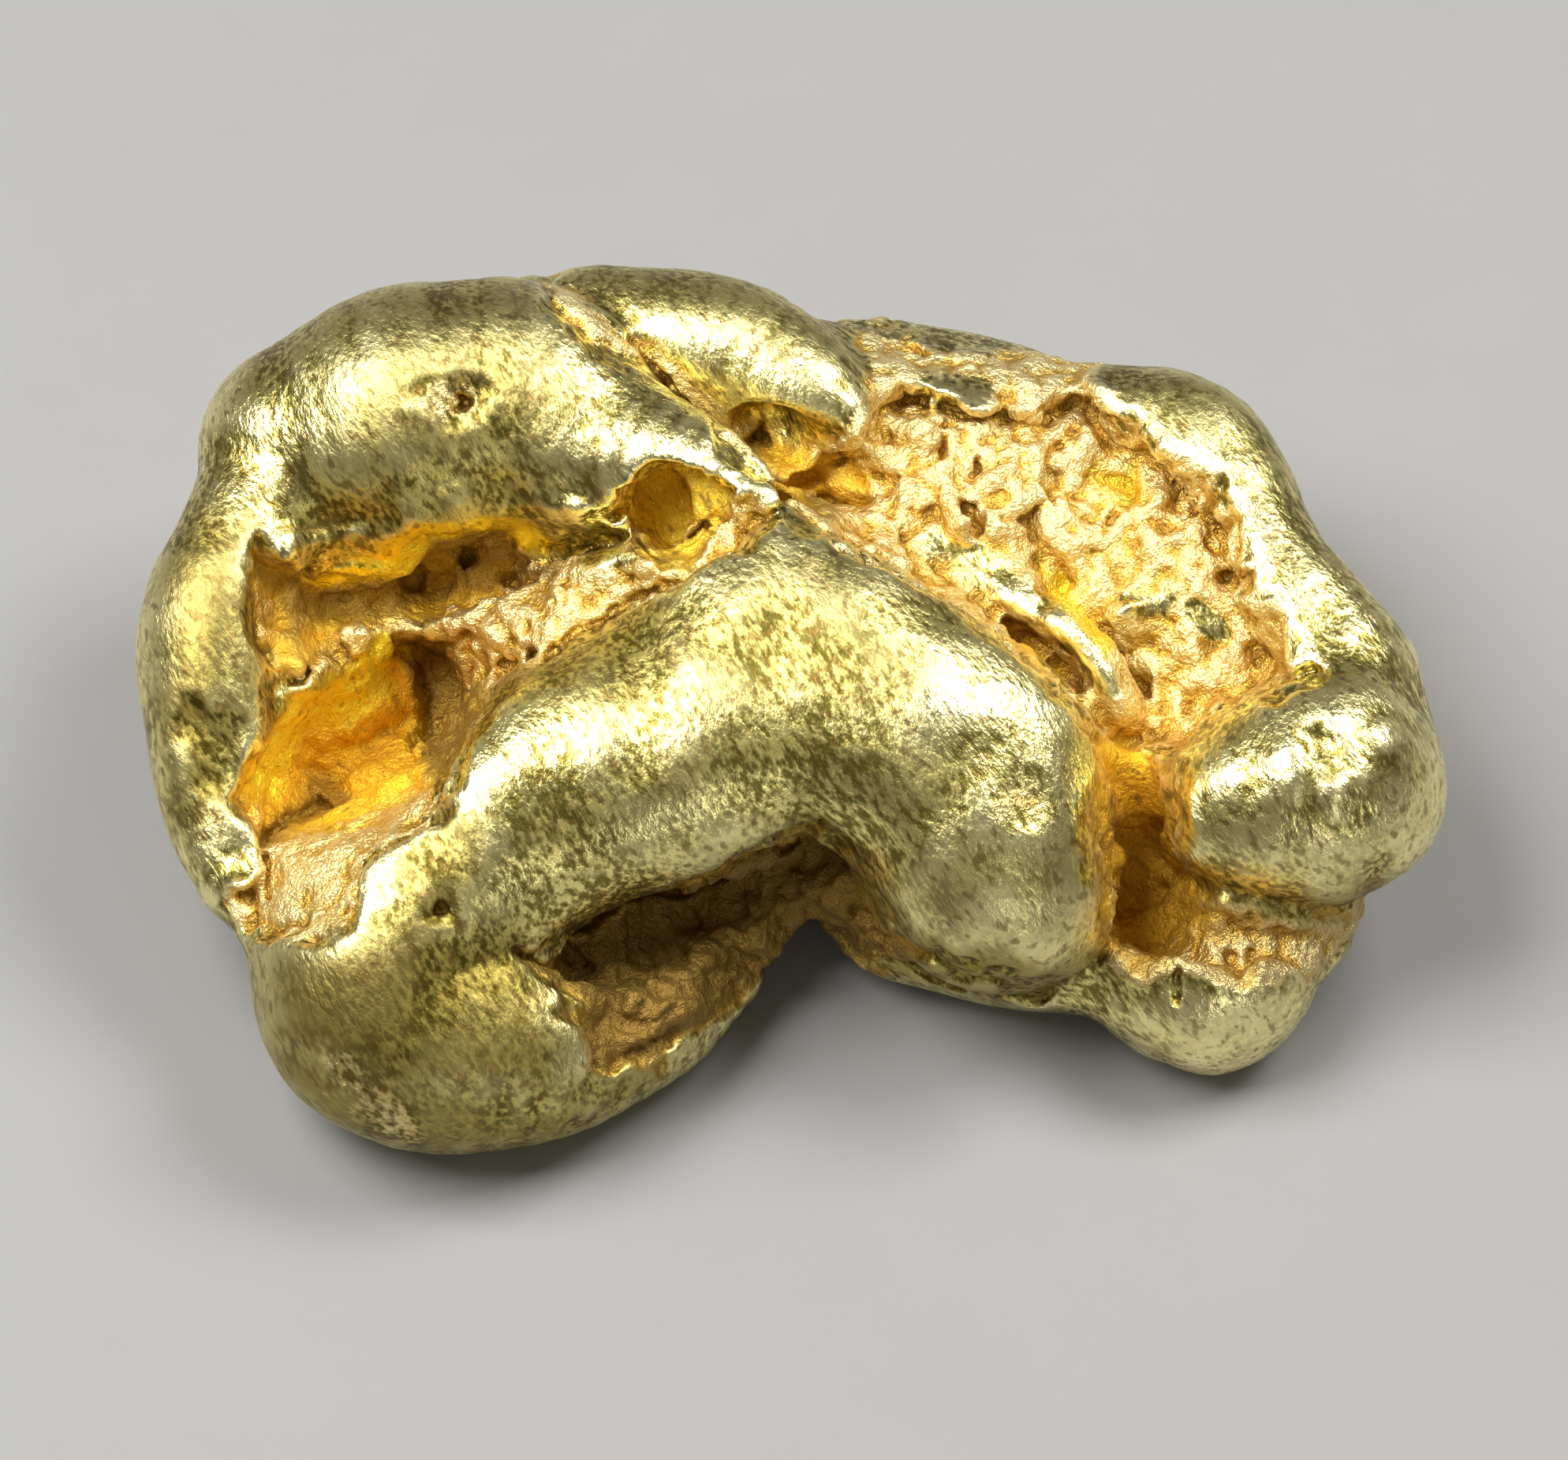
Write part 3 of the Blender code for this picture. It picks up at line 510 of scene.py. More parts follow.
# Matt areas of the face, where the metal crumbles: strength, softness of the edge, and outline
MATT = {
    "worn_hollow": (1.0, 0.12, [
        (0.75, 4.75), (1.1, 3.6), (0.6, 3.2), (-0.1, 3.4), (-0.35, 3.0), (0.0, 2.4), (0.8, 2.0),
        (1.75, 1.4), (2.5, 0.92), (3.2, 0.45), (3.7, -0.25), (3.85, -0.6), (4.4, -0.5),
        (5.3, -0.05), (6.2, 0.4), (6.0, 0.9), (5.7, 1.3), (5.8, 1.7), (5.6, 2.4), (5.0, 2.9),
        (4.5, 3.3), (3.9, 3.6), (3.9, 4.4),
    ]),
    "beads": (1.0, 0.5, [
        (0.9, 3.9), (0.4, 2.9), (1.3, 1.9), (2.6, 1.6), (2.9, 2.4), (4.6, 2.0), (5.5, 1.6),
        (5.4, 2.4), (4.4, 3.2), (3.2, 3.6),
    ]),
    "sill": (1.0, 0.1, [
        (-4.2, -0.9), (-4.3, -1.3), (-4.8, -1.7), (-5.2, -2.0), (-5.35, -2.4), (-5.7, -2.75),
        (-6.1, -2.85), (-6.6, -2.7), (-7.0, -2.4), (-6.5, -1.8), (-5.6, -1.5), (-5.0, -1.3),
    ]),
    "bank": (1.0, 0.1, [
        (-4.3, 1.0), (-3.8, 0.2), (-3.3, 0.5), (-2.5, 0.95), (-1.65, 1.3), (-0.8, 1.95),
        (-0.2, 2.35), (-0.5, 2.6), (-0.8, 2.55), (-1.3, 1.8), (-1.9, 1.9), (-3.0, 1.8),
        (-4.0, 1.9),
    ]),
    "upper_pit": (0.7, 0.12, [
        (-6.5, 2.0), (-5.9, 1.5), (-5.0, 1.5), (-4.3, 1.0), (-5.2, 0.5), (-6.3, 0.4), (-6.5, 1.0),
    ]),
    "lip_wall": (0.8, 0.1, [
        (-5.4, 1.5), (-5.0, 1.85), (-4.6, 2.1), (-4.0, 2.2), (-3.2, 2.0), (-2.6, 1.9), (-3.0, 1.6),
        (-4.3, 1.2), (-5.0, 1.2),
    ]),
    "crease_bank": (0.8, 0.1, [
        (-3.1, 5.4), (-2.7, 5.35), (-1.95, 4.65), (-1.15, 4.05), (-0.5, 3.5), (-0.55, 3.1),
        (-0.75, 3.25), (-1.45, 3.92), (-2.3, 4.48), (-2.95, 5.0),
    ]),
    "shoulder_spot": (0.6, 0.2, [(-4.5, 3.7), (-4.3, 4.1), (-3.9, 4.1), (-3.6, 3.85), (-3.9, 3.6)]),
    "foot_patch": (0.5, 0.2, [
        (-5.6, -4.2), (-5.2, -4.2), (-4.7, -4.7), (-4.4, -5.3), (-4.9, -5.2), (-5.4, -4.7),
    ]),
    "arch_spot": (0.5, 0.2, [(2.5, -1.0), (2.9, -0.8), (3.3, -1.1), (2.9, -1.5), (2.5, -1.3)]),
    "shelf": (0.9, 0.12, [
        (3.83, -1.45), (4.65, -1.45), (5.0, -2.1), (5.3, -2.4), (6.4, -2.6), (7.3, -2.3),
        (7.0, -2.9), (6.3, -3.25), (5.5, -3.35), (4.7, -3.35), (4.0, -3.2),
    ]),
    "lobe_spot": (0.5, 0.15, [(6.9, -1.9), (7.3, -1.8), (7.4, -2.0), (7.1, -2.1)]),
    "under_arch": (0.9, 0.1, [
        (-3.1, -3.0), (-1.95, -2.4), (-0.75, -1.9), (0.3, -1.45), (0.9, -2.0), (1.5, -3.05),
        (0.9, -3.3), (-0.3, -3.1), (-1.6, -4.4), (-2.5, -4.3), (-2.65, -3.5),
    ]),
    "big_cavity": (0.6, 0.1, LEDGES["big_cavity"][2]),
}

# How far the crumbs stand out in these areas, as a share of their full depth
CRUMB_SHARES = {
    "worn_hollow": 0.65, "sill": 0.3, "crease_bank": 0.3, "shoulder_spot": 0.3, "foot_patch": 0.15,
    "arch_spot": 0.2, "shelf": 0.75, "lobe_spot": 0.1, "under_arch": 1.0, "big_cavity": 0.6,
}

# Deep places, painted amber brown: partly oxide stain, partly painted shade and a painted reflected glow,
# in the same form
DEEP = {
    "big_cavity": (1.0, 0.15, LEDGES["big_cavity"][2]),
    "upper_pit": (0.85, 0.12, [
        (-6.4, 1.9), (-5.8, 1.4), (-5.0, 1.5), (-4.6, 2.0), (-4.0, 2.1), (-3.2, 1.95), (-3.4, 1.6),
        (-4.4, 1.1), (-5.3, 0.9), (-6.3, 0.5),
    ]),
    "pocket": (0.85, 0.06, LEDGES["pocket"][2]),
    "ridge_hollow": (0.9, 0.1, [
        (-0.5, 3.5), (-0.2, 3.6), (0.4, 3.1), (1.0, 2.9), (1.0, 2.5), (0.0, 2.5), (-0.25, 2.9),
    ]),
    "channel": (1.0, 0.2, [
        (3.8, -0.45), (4.1, -0.3), (4.4, -0.6), (4.6, -1.2), (4.9, -1.9), (5.3, -2.5), (4.6, -3.1),
        (4.0, -3.0), (3.83, -1.9),
    ]),
    "spur_slit": (0.9, 0.08, [(2.6, 1.15), (2.9, 1.1), (3.5, 0.4), (3.25, 0.35), (2.8, 0.75)]),
    "under_arch": (0.9, 0.1, MATT["under_arch"][2]),
}

# Places painted bright yellow as a painted reflection, the glow gold throws into its own pits and under
# the lip, in the same form
PAINTED_GLOW = {
    "cavity_wall": (1.0, 0.1, [
        (-6.75, -1.1), (-6.35, -0.3), (-6.0, 0.2), (-5.4, 0.6), (-4.9, 0.9), (-4.6, 0.7),
        (-5.0, 0.35), (-5.5, 0.0), (-5.9, -0.4), (-6.3, -1.0),
    ]),
    "under_lip": (1.0, 0.06, [
        (-6.0, 1.5), (-5.5, 1.7), (-5.0, 1.95), (-4.6, 2.3), (-4.0, 2.4), (-3.0, 2.18),
        (-2.7, 2.0), (-3.0, 2.0), (-3.9, 2.2), (-4.4, 2.1), (-4.8, 1.75), (-5.4, 1.48),
    ]),
    "spur_bank": (0.9, 0.1, [(3.0, 1.95), (3.6, 1.4), (4.05, 0.75), (3.85, 0.6), (3.35, 1.3)]),
    "pocket": (0.35, 0.08, LEDGES["pocket"][2]),
    "rim_hollow": (0.6, 0.2, [(3.9, 3.0), (4.3, 2.95), (4.35, 2.5), (3.9, 2.5)]),
}

# Stretches inside the matt areas that are worn smooth: half width and line
WORN_LINES = (
    (0.4, [(1.8, 3.95), (2.3, 3.9)]),
    (0.3, [(1.8, 2.05), (2.3, 1.9)]),
    (0.34, [(2.45, 1.65), (3.1, 1.2), (3.6, 0.8), (3.9, 0.35)]),
    (0.25, [(4.15, 1.3), (4.6, 1.3)]),
    (0.25, [(5.0, 1.25), (5.3, 0.95)]),
)

# Places painted dark with the stain colour, partly dirt and partly painted shade under the lip and the
# arch, in holes, slits and recesses and on the foot's side, in the same form as the deep ones
GRIME_AND_SHADE = {
    "under_arch": (0.93, 0.1, MATT["under_arch"][2]),
    "lip": (0.7, 0.1, [
        (-6.45, 1.9), (-5.9, 1.45), (-5.3, 1.5), (-4.8, 1.75), (-4.4, 2.1), (-3.9, 2.2),
        (-3.0, 2.0), (-2.9, 1.7), (-4.3, 1.4), (-4.9, 1.0), (-5.5, 1.0), (-6.2, 0.9),
    ]),
    "cavity": (0.85, 0.12, [
        (-4.8, 0.9), (-4.0, 0.9), (-3.85, 0.3), (-4.0, -0.5), (-4.4, -0.9), (-4.65, -0.2),
    ]),
    "slit": (0.7, 0.1, [(-6.6, -1.8), (-6.3, -1.2), (-5.7, -0.7), (-5.5, -1.0), (-6.2, -1.7)]),
    "channel": (0.4, 0.15, MATT["shelf"][2]),
    "ridge_slit": (0.7, 0.08, [(-0.1, 2.65), (1.0, 2.55), (1.0, 2.4), (0.0, 2.5)]),
    "foot_side": (0.25, 0.4, [
        (-6.3, -3.0), (-5.3, -2.7), (-4.6, -2.7), (-4.4, -4.6), (-5.2, -4.8), (-6.4, -4.2),
    ]),
    "ridge_hole": (0.8, 0.08, [(-0.5, 3.3), (-0.45, 3.65), (-0.2, 3.65), (-0.15, 3.3)]),
}

# Duller stretches of the worn folds: rougher, and painted darker as painted shade on undersides and where
# highlights would fall, in the same form
DULL_AND_SHADE = {
    "shoulder_underside": (0.8, 0.3, [
        (-6.2, 2.3), (-5.4, 1.9), (-4.6, 2.3), (-3.4, 2.3), (-2.9, 2.1), (-3.4, 3.0), (-4.6, 2.8),
        (-5.6, 2.7),
    ]),
    "shoulder_top": (0.4, 0.4, [
        (-6.6, 4.2), (-5.4, 4.6), (-3.6, 5.0), (-3.0, 5.6), (-5.0, 5.4), (-6.6, 4.8),
    ]),
    "ridge_top": (0.5, 0.25, [
        (-2.8, 5.6), (-2.2, 5.0), (-0.9, 4.8), (0.3, 4.4), (0.9, 4.0), (0.9, 4.8), (-0.5, 5.4),
    ]),
    "arch_crest": (0.7, 0.25, [
        (-3.3, -1.4), (-2.0, -0.6), (-0.8, -0.3), (0.6, -0.2), (1.8, -0.5), (2.3, -0.7),
        (1.8, -0.9), (0.6, -0.6), (-0.8, -0.8), (-2.0, -1.1), (-3.0, -1.9),
    ]),
    "arch_underside": (1.0, 0.2, [
        (-2.9, -2.6), (-1.4, -2.0), (-0.4, -1.6), (0.2, -1.2), (0.9, -1.7), (1.3, -2.5),
        (2.0, -3.0), (3.6, -3.1), (3.9, -2.4), (4.1, -3.2), (2.4, -3.6), (1.1, -3.2), (0.4, -1.8),
        (-1.2, -2.4), (-2.9, -3.1),
    ]),
    "rim_top": (0.5, 0.3, [
        (3.8, 4.3), (4.3, 3.6), (5.4, 3.3), (5.9, 2.7), (6.2, 3.0), (5.4, 4.2),
    ]),
    "left_rim": (1.0, 0.4, [
        (-7.7, 1.6), (-7.3, 2.5), (-6.6, 2.3), (-6.6, 1.0), (-6.7, -0.1), (-6.8, -1.2),
        (-7.5, -1.5), (-7.6, -0.2),
    ]),
    "shoulder_middle": (0.85, 0.6, [
        (-5.4, 2.7), (-5.6, 4.1), (-4.4, 4.7), (-3.2, 4.6), (-2.7, 3.9), (-3.4, 2.9),
    ]),
    "arch_shoulder": (0.85, 0.4, [
        (-2.9, 0.0), (-3.1, 0.5), (-2.4, 1.0), (-1.5, 1.3), (-1.3, 0.8), (-1.7, 0.1), (-2.3, -0.3),
    ]),
    "arch_middle": (0.75, 0.6, [
        (-2.1, 0.0), (-1.9, 0.9), (-1.0, 1.4), (-0.3, 1.9), (0.6, 1.6), (1.5, 0.9), (1.4, 0.1),
        (0.4, 0.0), (-1.0, 0.1),
    ]),
    "foot_side": (1.0, 0.4, [
        (-6.3, -3.0), (-5.3, -2.7), (-4.4, -2.7), (-3.3, -2.6), (-2.8, -3.2), (-2.8, -4.6),
        (-5.2, -4.6), (-6.4, -4.2),
    ]),
    "foot_neck": (0.85, 0.2, [
        (-4.3, -0.95), (-3.6, -1.2), (-3.6, -2.0), (-4.0, -2.7), (-4.6, -3.0), (-5.4, -3.0),
        (-5.2, -2.4), (-4.75, -2.35), (-4.7, -1.9), (-4.4, -1.5),
    ]),
    "leg": (0.3, 0.4, [(1.6, -1.2), (2.3, -1.6), (3.7, -1.8), (3.8, -2.6), (2.2, -2.9), (1.5, -2.2)]),
    "foot_bottom": (1.0, 0.5, [
        (-6.4, -4.0), (-5.6, -4.2), (-4.2, -4.5), (-2.8, -4.6), (-1.6, -4.1), (-1.2, -4.4),
        (-2.6, -5.6), (-5.4, -5.6), (-6.6, -4.6),
    ]),
    "lobe_underside": (0.9, 0.2, [
        (4.8, -1.9), (5.4, -2.2), (6.4, -2.2), (7.3, -1.9), (7.2, -2.6), (6.4, -2.7), (5.4, -2.6),
    ]),
}

# size, depth and seed of the crumbs, then of the unevenness among them
CRUMBS = ((0.8, 0.16, 3.0), (0.38, 0.2, 11.0), (0.17, 0.06, 23.0))
CRUMB_CLOUDS = ((1.3, 0.16, 61.0), (0.45, 0.1, 63.0), (0.14, 0.04, 65.0))
CRUMB_MIDDLE = 0.8
# Holes between the crumbs: how far apart, how wide as a share of that, and how deep
HOLES_APART = 1.0
HOLE_SHARE = 0.25
HOLE_DEPTH = 0.25
HOLE_SEED = 31.0
# Crumbly patches behind: how strong, how large, and how sharp their edges are
BACK_CRUMB = 0.6
BACK_CRUMB_PATCH = 2.4
BACK_CRUMB_SEED = 5.0
BACK_CRUMB_CONTRAST = 2.5


def smooth_line(points):
    """A smooth line through the given centres and radii."""
    ends = np.array(points, dtype=float)
    before = 2 * ends[0] - ends[1]
    after = 2 * ends[-1] - ends[-2]
    p = np.vstack([before, ends, after])
    line = []
    for a, b, c, d in zip(p, p[1:], p[2:], p[3:]):
        for t in np.arange(SPAN_PARTS) / SPAN_PARTS:
            bend = 2 * a - 5 * b + 4 * c - d
            twist = 3 * b - a - 3 * c + d
            line.append(b + 0.5 * t * ((c - a) + t * (bend + t * twist)))
    line.append(ends[-1])
    return np.array(line)


def fold_distance(p, line):
    """Distance outside a round fold, up to REACH."""
    low = (line[:, :3] - line[:, 3:]).min(axis=0) - REACH
    high = (line[:, :3] + line[:, 3:]).max(axis=0) + REACH
    near = ((p > low) & (p < high)).all(axis=1)
    q = p[near]
    best = np.full(len(q), REACH)
    for start, end in zip(line, line[1:]):
        along = end[:3] - start[:3]
        t = np.clip((q - start[:3]) @ along / (along @ along), 0, 1)
        gap = np.linalg.norm(q - start[:3] - t[:, None] * along, axis=1)
        best = np.minimum(best, gap - start[3] - t * (end[3] - start[3]))
    distance = np.full(len(p), REACH)
    distance[near] = best
    return distance


def blended(a, b, width):
    """The smaller of two distances, rounded where they are within width of each other."""
    overlap = np.maximum(width - np.abs(a - b), 0) / width
    return np.minimum(a, b) - overlap * overlap * width / 4


def ramp(x):
    x = np.clip(x, 0, 1)
    return x * x * (3 - 2 * x)


def bump(distance, radius):
    """One at the middle, falling smoothly to nothing at the radius."""
    return (1 - np.minimum(distance / radius, 1) ** 2) ** 2


def line_distance(q, points):
    """Distance in the face to a line of straight runs."""
    best = np.full(len(q), np.inf)
    for start, end in zip(points, points[1:]):
        along = np.subtract(end, start)
        t = np.clip((q - start) @ along / (along @ along), 0, 1)
        best = np.minimum(best, np.linalg.norm(q - start - t[:, None] * along, axis=1))
    return best


def inside(q, outline):
    """Whether each point of the face lies within a closed outline."""
    odd = np.zeros(len(q), dtype=bool)
    for (u0, v0), (u1, v1) in zip(outline, outline[1:] + outline[:1]):
        if v0 != v1:
            crosses = (v0 > q[:, 1]) != (v1 > q[:, 1])
            odd ^= crosses & (q[:, 0] < u0 + (q[:, 1] - v0) * (u1 - u0) / (v1 - v0))
    return odd


def outline_share(q, edge, outline):
    """One inside a closed outline, falling to nothing across its soft edge."""
    distance = line_distance(q, outline + outline[:1])
    signed = np.where(inside(q, outline), distance, -distance)
    return ramp(0.5 + signed / (2 * edge))


def relief(q):
    """How far the face stands out at each u, v."""
    height = np.zeros(len(q))
    for rise, edge, outline in LEDGES.values():
        height += rise * outline_share(q, edge, outline)
    for half_width, rise, points in STROKES.values():
        height += rise * bump(line_distance(q, points), half_width)
    for u, v, radius, rise in DOTS:
        height += rise * bump(np.hypot(q[:, 0] - u, q[:, 1] - v), radius)
    return height


def scattered(cell, turns, seed):
    """For each whole-numbered cell, an even random number for each column of turns."""
    return np.modf(np.abs(np.sin(cell @ turns + seed)) * CELL_STRETCH)[0]


def cloud(p, size, seed):
    """Soft noise from minus one to one."""
    q = p / size
    base = np.floor(q)
    part = ramp(q - base)
    total = np.zeros(len(p))
    for corner in np.ndindex(2, 2, 2):
        share = np.where(corner, part, 1 - part).prod(axis=1)
        total += share * scattered(base + corner, CELL_TURNS[:, 0], seed)
    return 2 * total - 1


def crumbs(p, size, seed):
    """Rounded crumbs with creases between them, one at the middle of each."""
    q = p / size
    base = np.floor(q)
    nearest = np.full(len(p), np.inf)
    for offset in np.ndindex(3, 3, 3):
        cell = base + np.array(offset) - 1
        distance = ((cell + scattered(cell, CELL_TURNS, seed) - q) ** 2).sum(axis=1)
        nearest = np.minimum(nearest, distance)
    return 1 - nearest


def wandered(p):
    """The u and v of each point, shifted a little so that the lines of the relief come out uneven."""
    q = p[:, :2].copy()
    for size, reach, seed in WANDER:
        q[:, 0] += reach * cloud(p, size, seed)
        q[:, 1] += reach * cloud(p, size, seed + 1)
    return q


def front_share(p):
    """One over the face, falling to nothing on the hidden side."""
    return ramp((p[:, 2] - RELIEF_FLOOR) / RELIEF_FADE)


def table_height(p):
    return FACE_HEIGHT + p[:, 1] * math.cos(FACE_LEAN) + p[:, 2] * math.sin(FACE_LEAN)


def relief_share(p):
    """One where the relief shows, falling to nothing on the hidden side and towards the table."""
    return front_share(p) * ramp((table_height(p) - RELIEF_LOWEST) / RELIEF_FADE)


def area_share(p, areas):
    """How far each point lies within the given areas of the face, from nothing to one."""
    q = wandered(p)
    share = np.zeros(len(p))
    for strength, edge, outline in areas.values():
        share = np.maximum(share, strength * outline_share(q, edge, outline))
    return share * relief_share(p)


def matt_share(p, areas):
    """The share of the given matt areas less the stretches worn smooth, and of patches behind."""
    share = area_share(p, areas)
    for half_width, points in WORN_LINES:
        share *= 1 - bump(line_distance(p[:, :2], points), half_width)
    behind = ramp(cloud(p, BACK_CRUMB_PATCH, BACK_CRUMB_SEED) * BACK_CRUMB_CONTRAST)
    behind *= 1 - front_share(p)
    return np.maximum(share, BACK_CRUMB * behind)


def crumbly_areas():
    """The matt areas, each with how far its crumbs stand out for its strength."""
    return {
        name: (CRUMB_SHARES.get(name, strength), edge, outline)
        for name, (strength, edge, outline) in MATT.items()
    }


def dents(p):
    """Shallow unevenness, as a distance to add."""
    total = sum(depth * cloud(p, size, seed) for size, depth, seed in DENTS)
    return total * (1 + (BACK_DENTS - 1) * (1 - front_share(p)))


def crumble(p):
    """How far crumbs stand out in the crumbly areas."""
    share = matt_share(p, crumbly_areas())
    rough = share > 0
    q = p[rough]
    stand = sum(depth * cloud(q, size, seed) for size, depth, seed in CRUMB_CLOUDS)
    q[:, :2] = wandered(q)
    gap = 1 - crumbs(q, HOLES_APART, HOLE_SEED)
    stand -= HOLE_DEPTH * bump(np.sqrt(gap), HOLE_SHARE)
    stand += sum(depth * (crumbs(q, size, seed) - CRUMB_MIDDLE) for size, depth, seed in CRUMBS)
    share[rough] *= stand
    return share


def form_distance(p):
    """Distance outside the nugget's form, below zero inside it, at points of the face frame."""
    shifted = p.copy()
    shifted[:, 2] -= relief(wandered(p)) * relief_share(p)
    distance = np.full(len(p), REACH)
    for blend, points in FOLDS.values():
        distance = blended(distance, fold_distance(shifted, smooth_line(points)), blend)
    for blend, points in HOLLOWS.values():
        distance = -blended(-distance, fold_distance(shifted, smooth_line(points)), blend)
    distance = distance + dents(p) - crumble(p)
    return np.maximum(distance, REST_CUT - table_height(p))


def to_face(p):
    """Row frame in metres to face frame in millimetres."""
    x, y, z = (p / MM + (MIDDLE_ACROSS, MIDDLE_BACK, REST_CUT - FACE_HEIGHT)).T
    sine, cosine = math.sin(FACE_LEAN), math.cos(FACE_LEAN)
    return np.stack([x, y * sine + z * cosine, z * sine - y * cosine], axis=1)


def to_row(p):
    """Face frame in millimetres to row frame in metres."""
    u, v, w = p.T
    sine, cosine = math.sin(FACE_LEAN), math.cos(FACE_LEAN)
    turned = np.stack([u, v * sine - w * cosine, v * cosine + w * sine], axis=1)
    return (turned - (MIDDLE_ACROSS, MIDDLE_BACK, REST_CUT - FACE_HEIGHT)) * MM


def vertex_values(mesh, name):
    values = np.empty(len(mesh.vertices) * 3)
    mesh.vertices.foreach_get(name, values)
    return values.reshape(-1, 3)


def set_places(mesh, p):
    mesh.vertices.foreach_set("co", p.ravel())
    mesh.update()


def set_share(mesh, name, values):
    """Stores a value from nothing to one at each vertex, for the material to read."""
    attribute = mesh.attributes.new(name, "FLOAT", "POINT")
    attribute.data.foreach_set("value", np.clip(values, 0, 1).astype(np.float32))


def select_only(obj):
    bpy.ops.object.select_all(action="DESELECT")
    obj.select_set(True)
    bpy.context.view_layer.objects.active = obj


def apply_modifier(obj, kind, **settings):
    modifier = obj.modifiers.new(kind.lower(), kind)
    for name, value in settings.items():
        setattr(modifier, name, value)
    bpy.ops.object.modifier_apply(modifier=modifier.name)


def solid_copy():
    """A merged copy of the solid, in the face frame."""
    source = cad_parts[CAD_NODE]
    obj = bpy.data.objects.new("nugget", source.data.copy())
    bpy.context.scene.collection.objects.link(obj)
    select_only(obj)
    bpy.ops.object.mode_set(mode="EDIT")
    bpy.ops.mesh.select_all(action="SELECT")
    bpy.ops.mesh.remove_doubles(threshold=MERGE_DISTANCE)
    bpy.ops.object.mode_set(mode="OBJECT")
    set_places(obj.data, to_face(vertex_values(obj.data, "co")))
    return obj


def press_onto_form(obj, voxel, longest_step, passes):
    """Rebuilds the mesh from even voxels and moves it onto the form."""
    for _ in range(passes):
        apply_modifier(obj, "REMESH", mode="VOXEL", voxel_size=voxel)
        p = vertex_values(obj.data, "co")
        step = np.clip(form_distance(p), -longest_step, longest_step)
        set_places(obj.data, p - vertex_values(obj.data, "normal") * step[:, None])


def convexity(mesh, rounds):
    """How far each vertex stands out from its smoothed neighbourhood, in millimetres."""
    p = vertex_values(mesh, "co")
    ends = np.empty(len(mesh.edges) * 2, dtype=np.int64)
    mesh.edges.foreach_get("vertices", ends)
    a, b = ends.reshape(-1, 2).T
    count = np.bincount(a, minlength=len(p)) + np.bincount(b, minlength=len(p))
    smooth = p.copy()
    for _ in range(rounds):
        total = np.zeros_like(p)
        for axis in range(3):
            total[:, axis] = np.bincount(a, smooth[b, axis], len(p))
            total[:, axis] += np.bincount(b, smooth[a, axis], len(p))
        smooth = (smooth + total / count[:, None]) / 2
    return ((p - smooth) * vertex_values(mesh, "normal")).sum(axis=1)


def press_to_finest(obj, finest):
    """Presses the mesh onto the form from coarse to fine, and keeps it within its number of triangles."""
    for coarseness, longest_step, passes in PRESSES:
        press_onto_form(obj, finest * coarseness, longest_step, passes)
    share = MOST_TRIANGLES / (2 * len(obj.data.polygons))
    if share < 1:
        apply_modifier(obj, "DECIMATE", ratio=share, use_collapse_triangulate=True)


def mark_areas(mesh):
    """Stores where the metal is matt, deep, dirty with painted shade, duller with painted shade, painted
    with a reflected glow, or raised, for the material to read.
    """
    face = vertex_values(mesh, "co")
    set_share(mesh, "matt", matt_share(face, MATT))
    for name, areas in (("deep", DEEP), ("grime_and_shade", GRIME_AND_SHADE), ("dull_and_shade", DULL_AND_SHADE), ("painted_glow", PAINTED_GLOW)):
        set_share(mesh, name, area_share(face, areas))
    set_share(mesh, "raised", 0.5 + convexity(mesh, RAISED_ROUNDS) / RAISED_RANGE)


def add_node(tree, kind, **settings):
    node = tree.nodes.new(kind)
    for name, value in settings.items():
        setattr(node, name, value)
    return node


def connect(tree, source, target):
    """Feeds an input: a link from a socket, or else a value."""
    if isinstance(source, bpy.types.NodeSocket):
        tree.links.new(source, target)
    else:
        target.default_value = source


def feed(tree, node, **sources):
    """Feeds a node's inputs by name."""
    for name, source in sources.items():
        connect(tree, source, node.inputs[name.replace("_", " ")])
    return node


def ramped(tree, value, low, high):
    """The value spread so that low gives nothing and high gives one."""
    node = add_node(tree, "ShaderNodeMapRange", interpolation_type="SMOOTHSTEP")
    feed(tree, node, Value=value, From_Min=low, From_Max=high)
    return node.outputs["Result"]


def mixed(tree, kind, share, first, second, **settings):
    node = add_node(tree, "ShaderNodeMix", data_type=kind, **settings)
    inputs, output = MIX_SOCKETS[kind]
    for socket, source in zip(inputs, (share, first, second)):
        connect(tree, source, node.inputs[socket])
    return node.outputs[output]


def mixed_colour(tree, share, first, second, blend="MIX"):
    return mixed(tree, "RGBA", share, first, second, blend_type=blend)


def mixed_value(tree, share, first, second):
    return mixed(tree, "FLOAT", share, first, second)


def maths(tree, operation, first, second):
    node = add_node(tree, "ShaderNodeMath", operation=operation)
    connect(tree, first, node.inputs[0])
    connect(tree, second, node.inputs[1])
    return node.outputs[0]


def noise(tree, places, scale, detail, roughness):
    node = add_node(tree, "ShaderNodeTexNoise")
    feed(tree, node, Vector=places, Scale=scale, Detail=detail, Roughness=roughness)
    return node.outputs["Fac"]


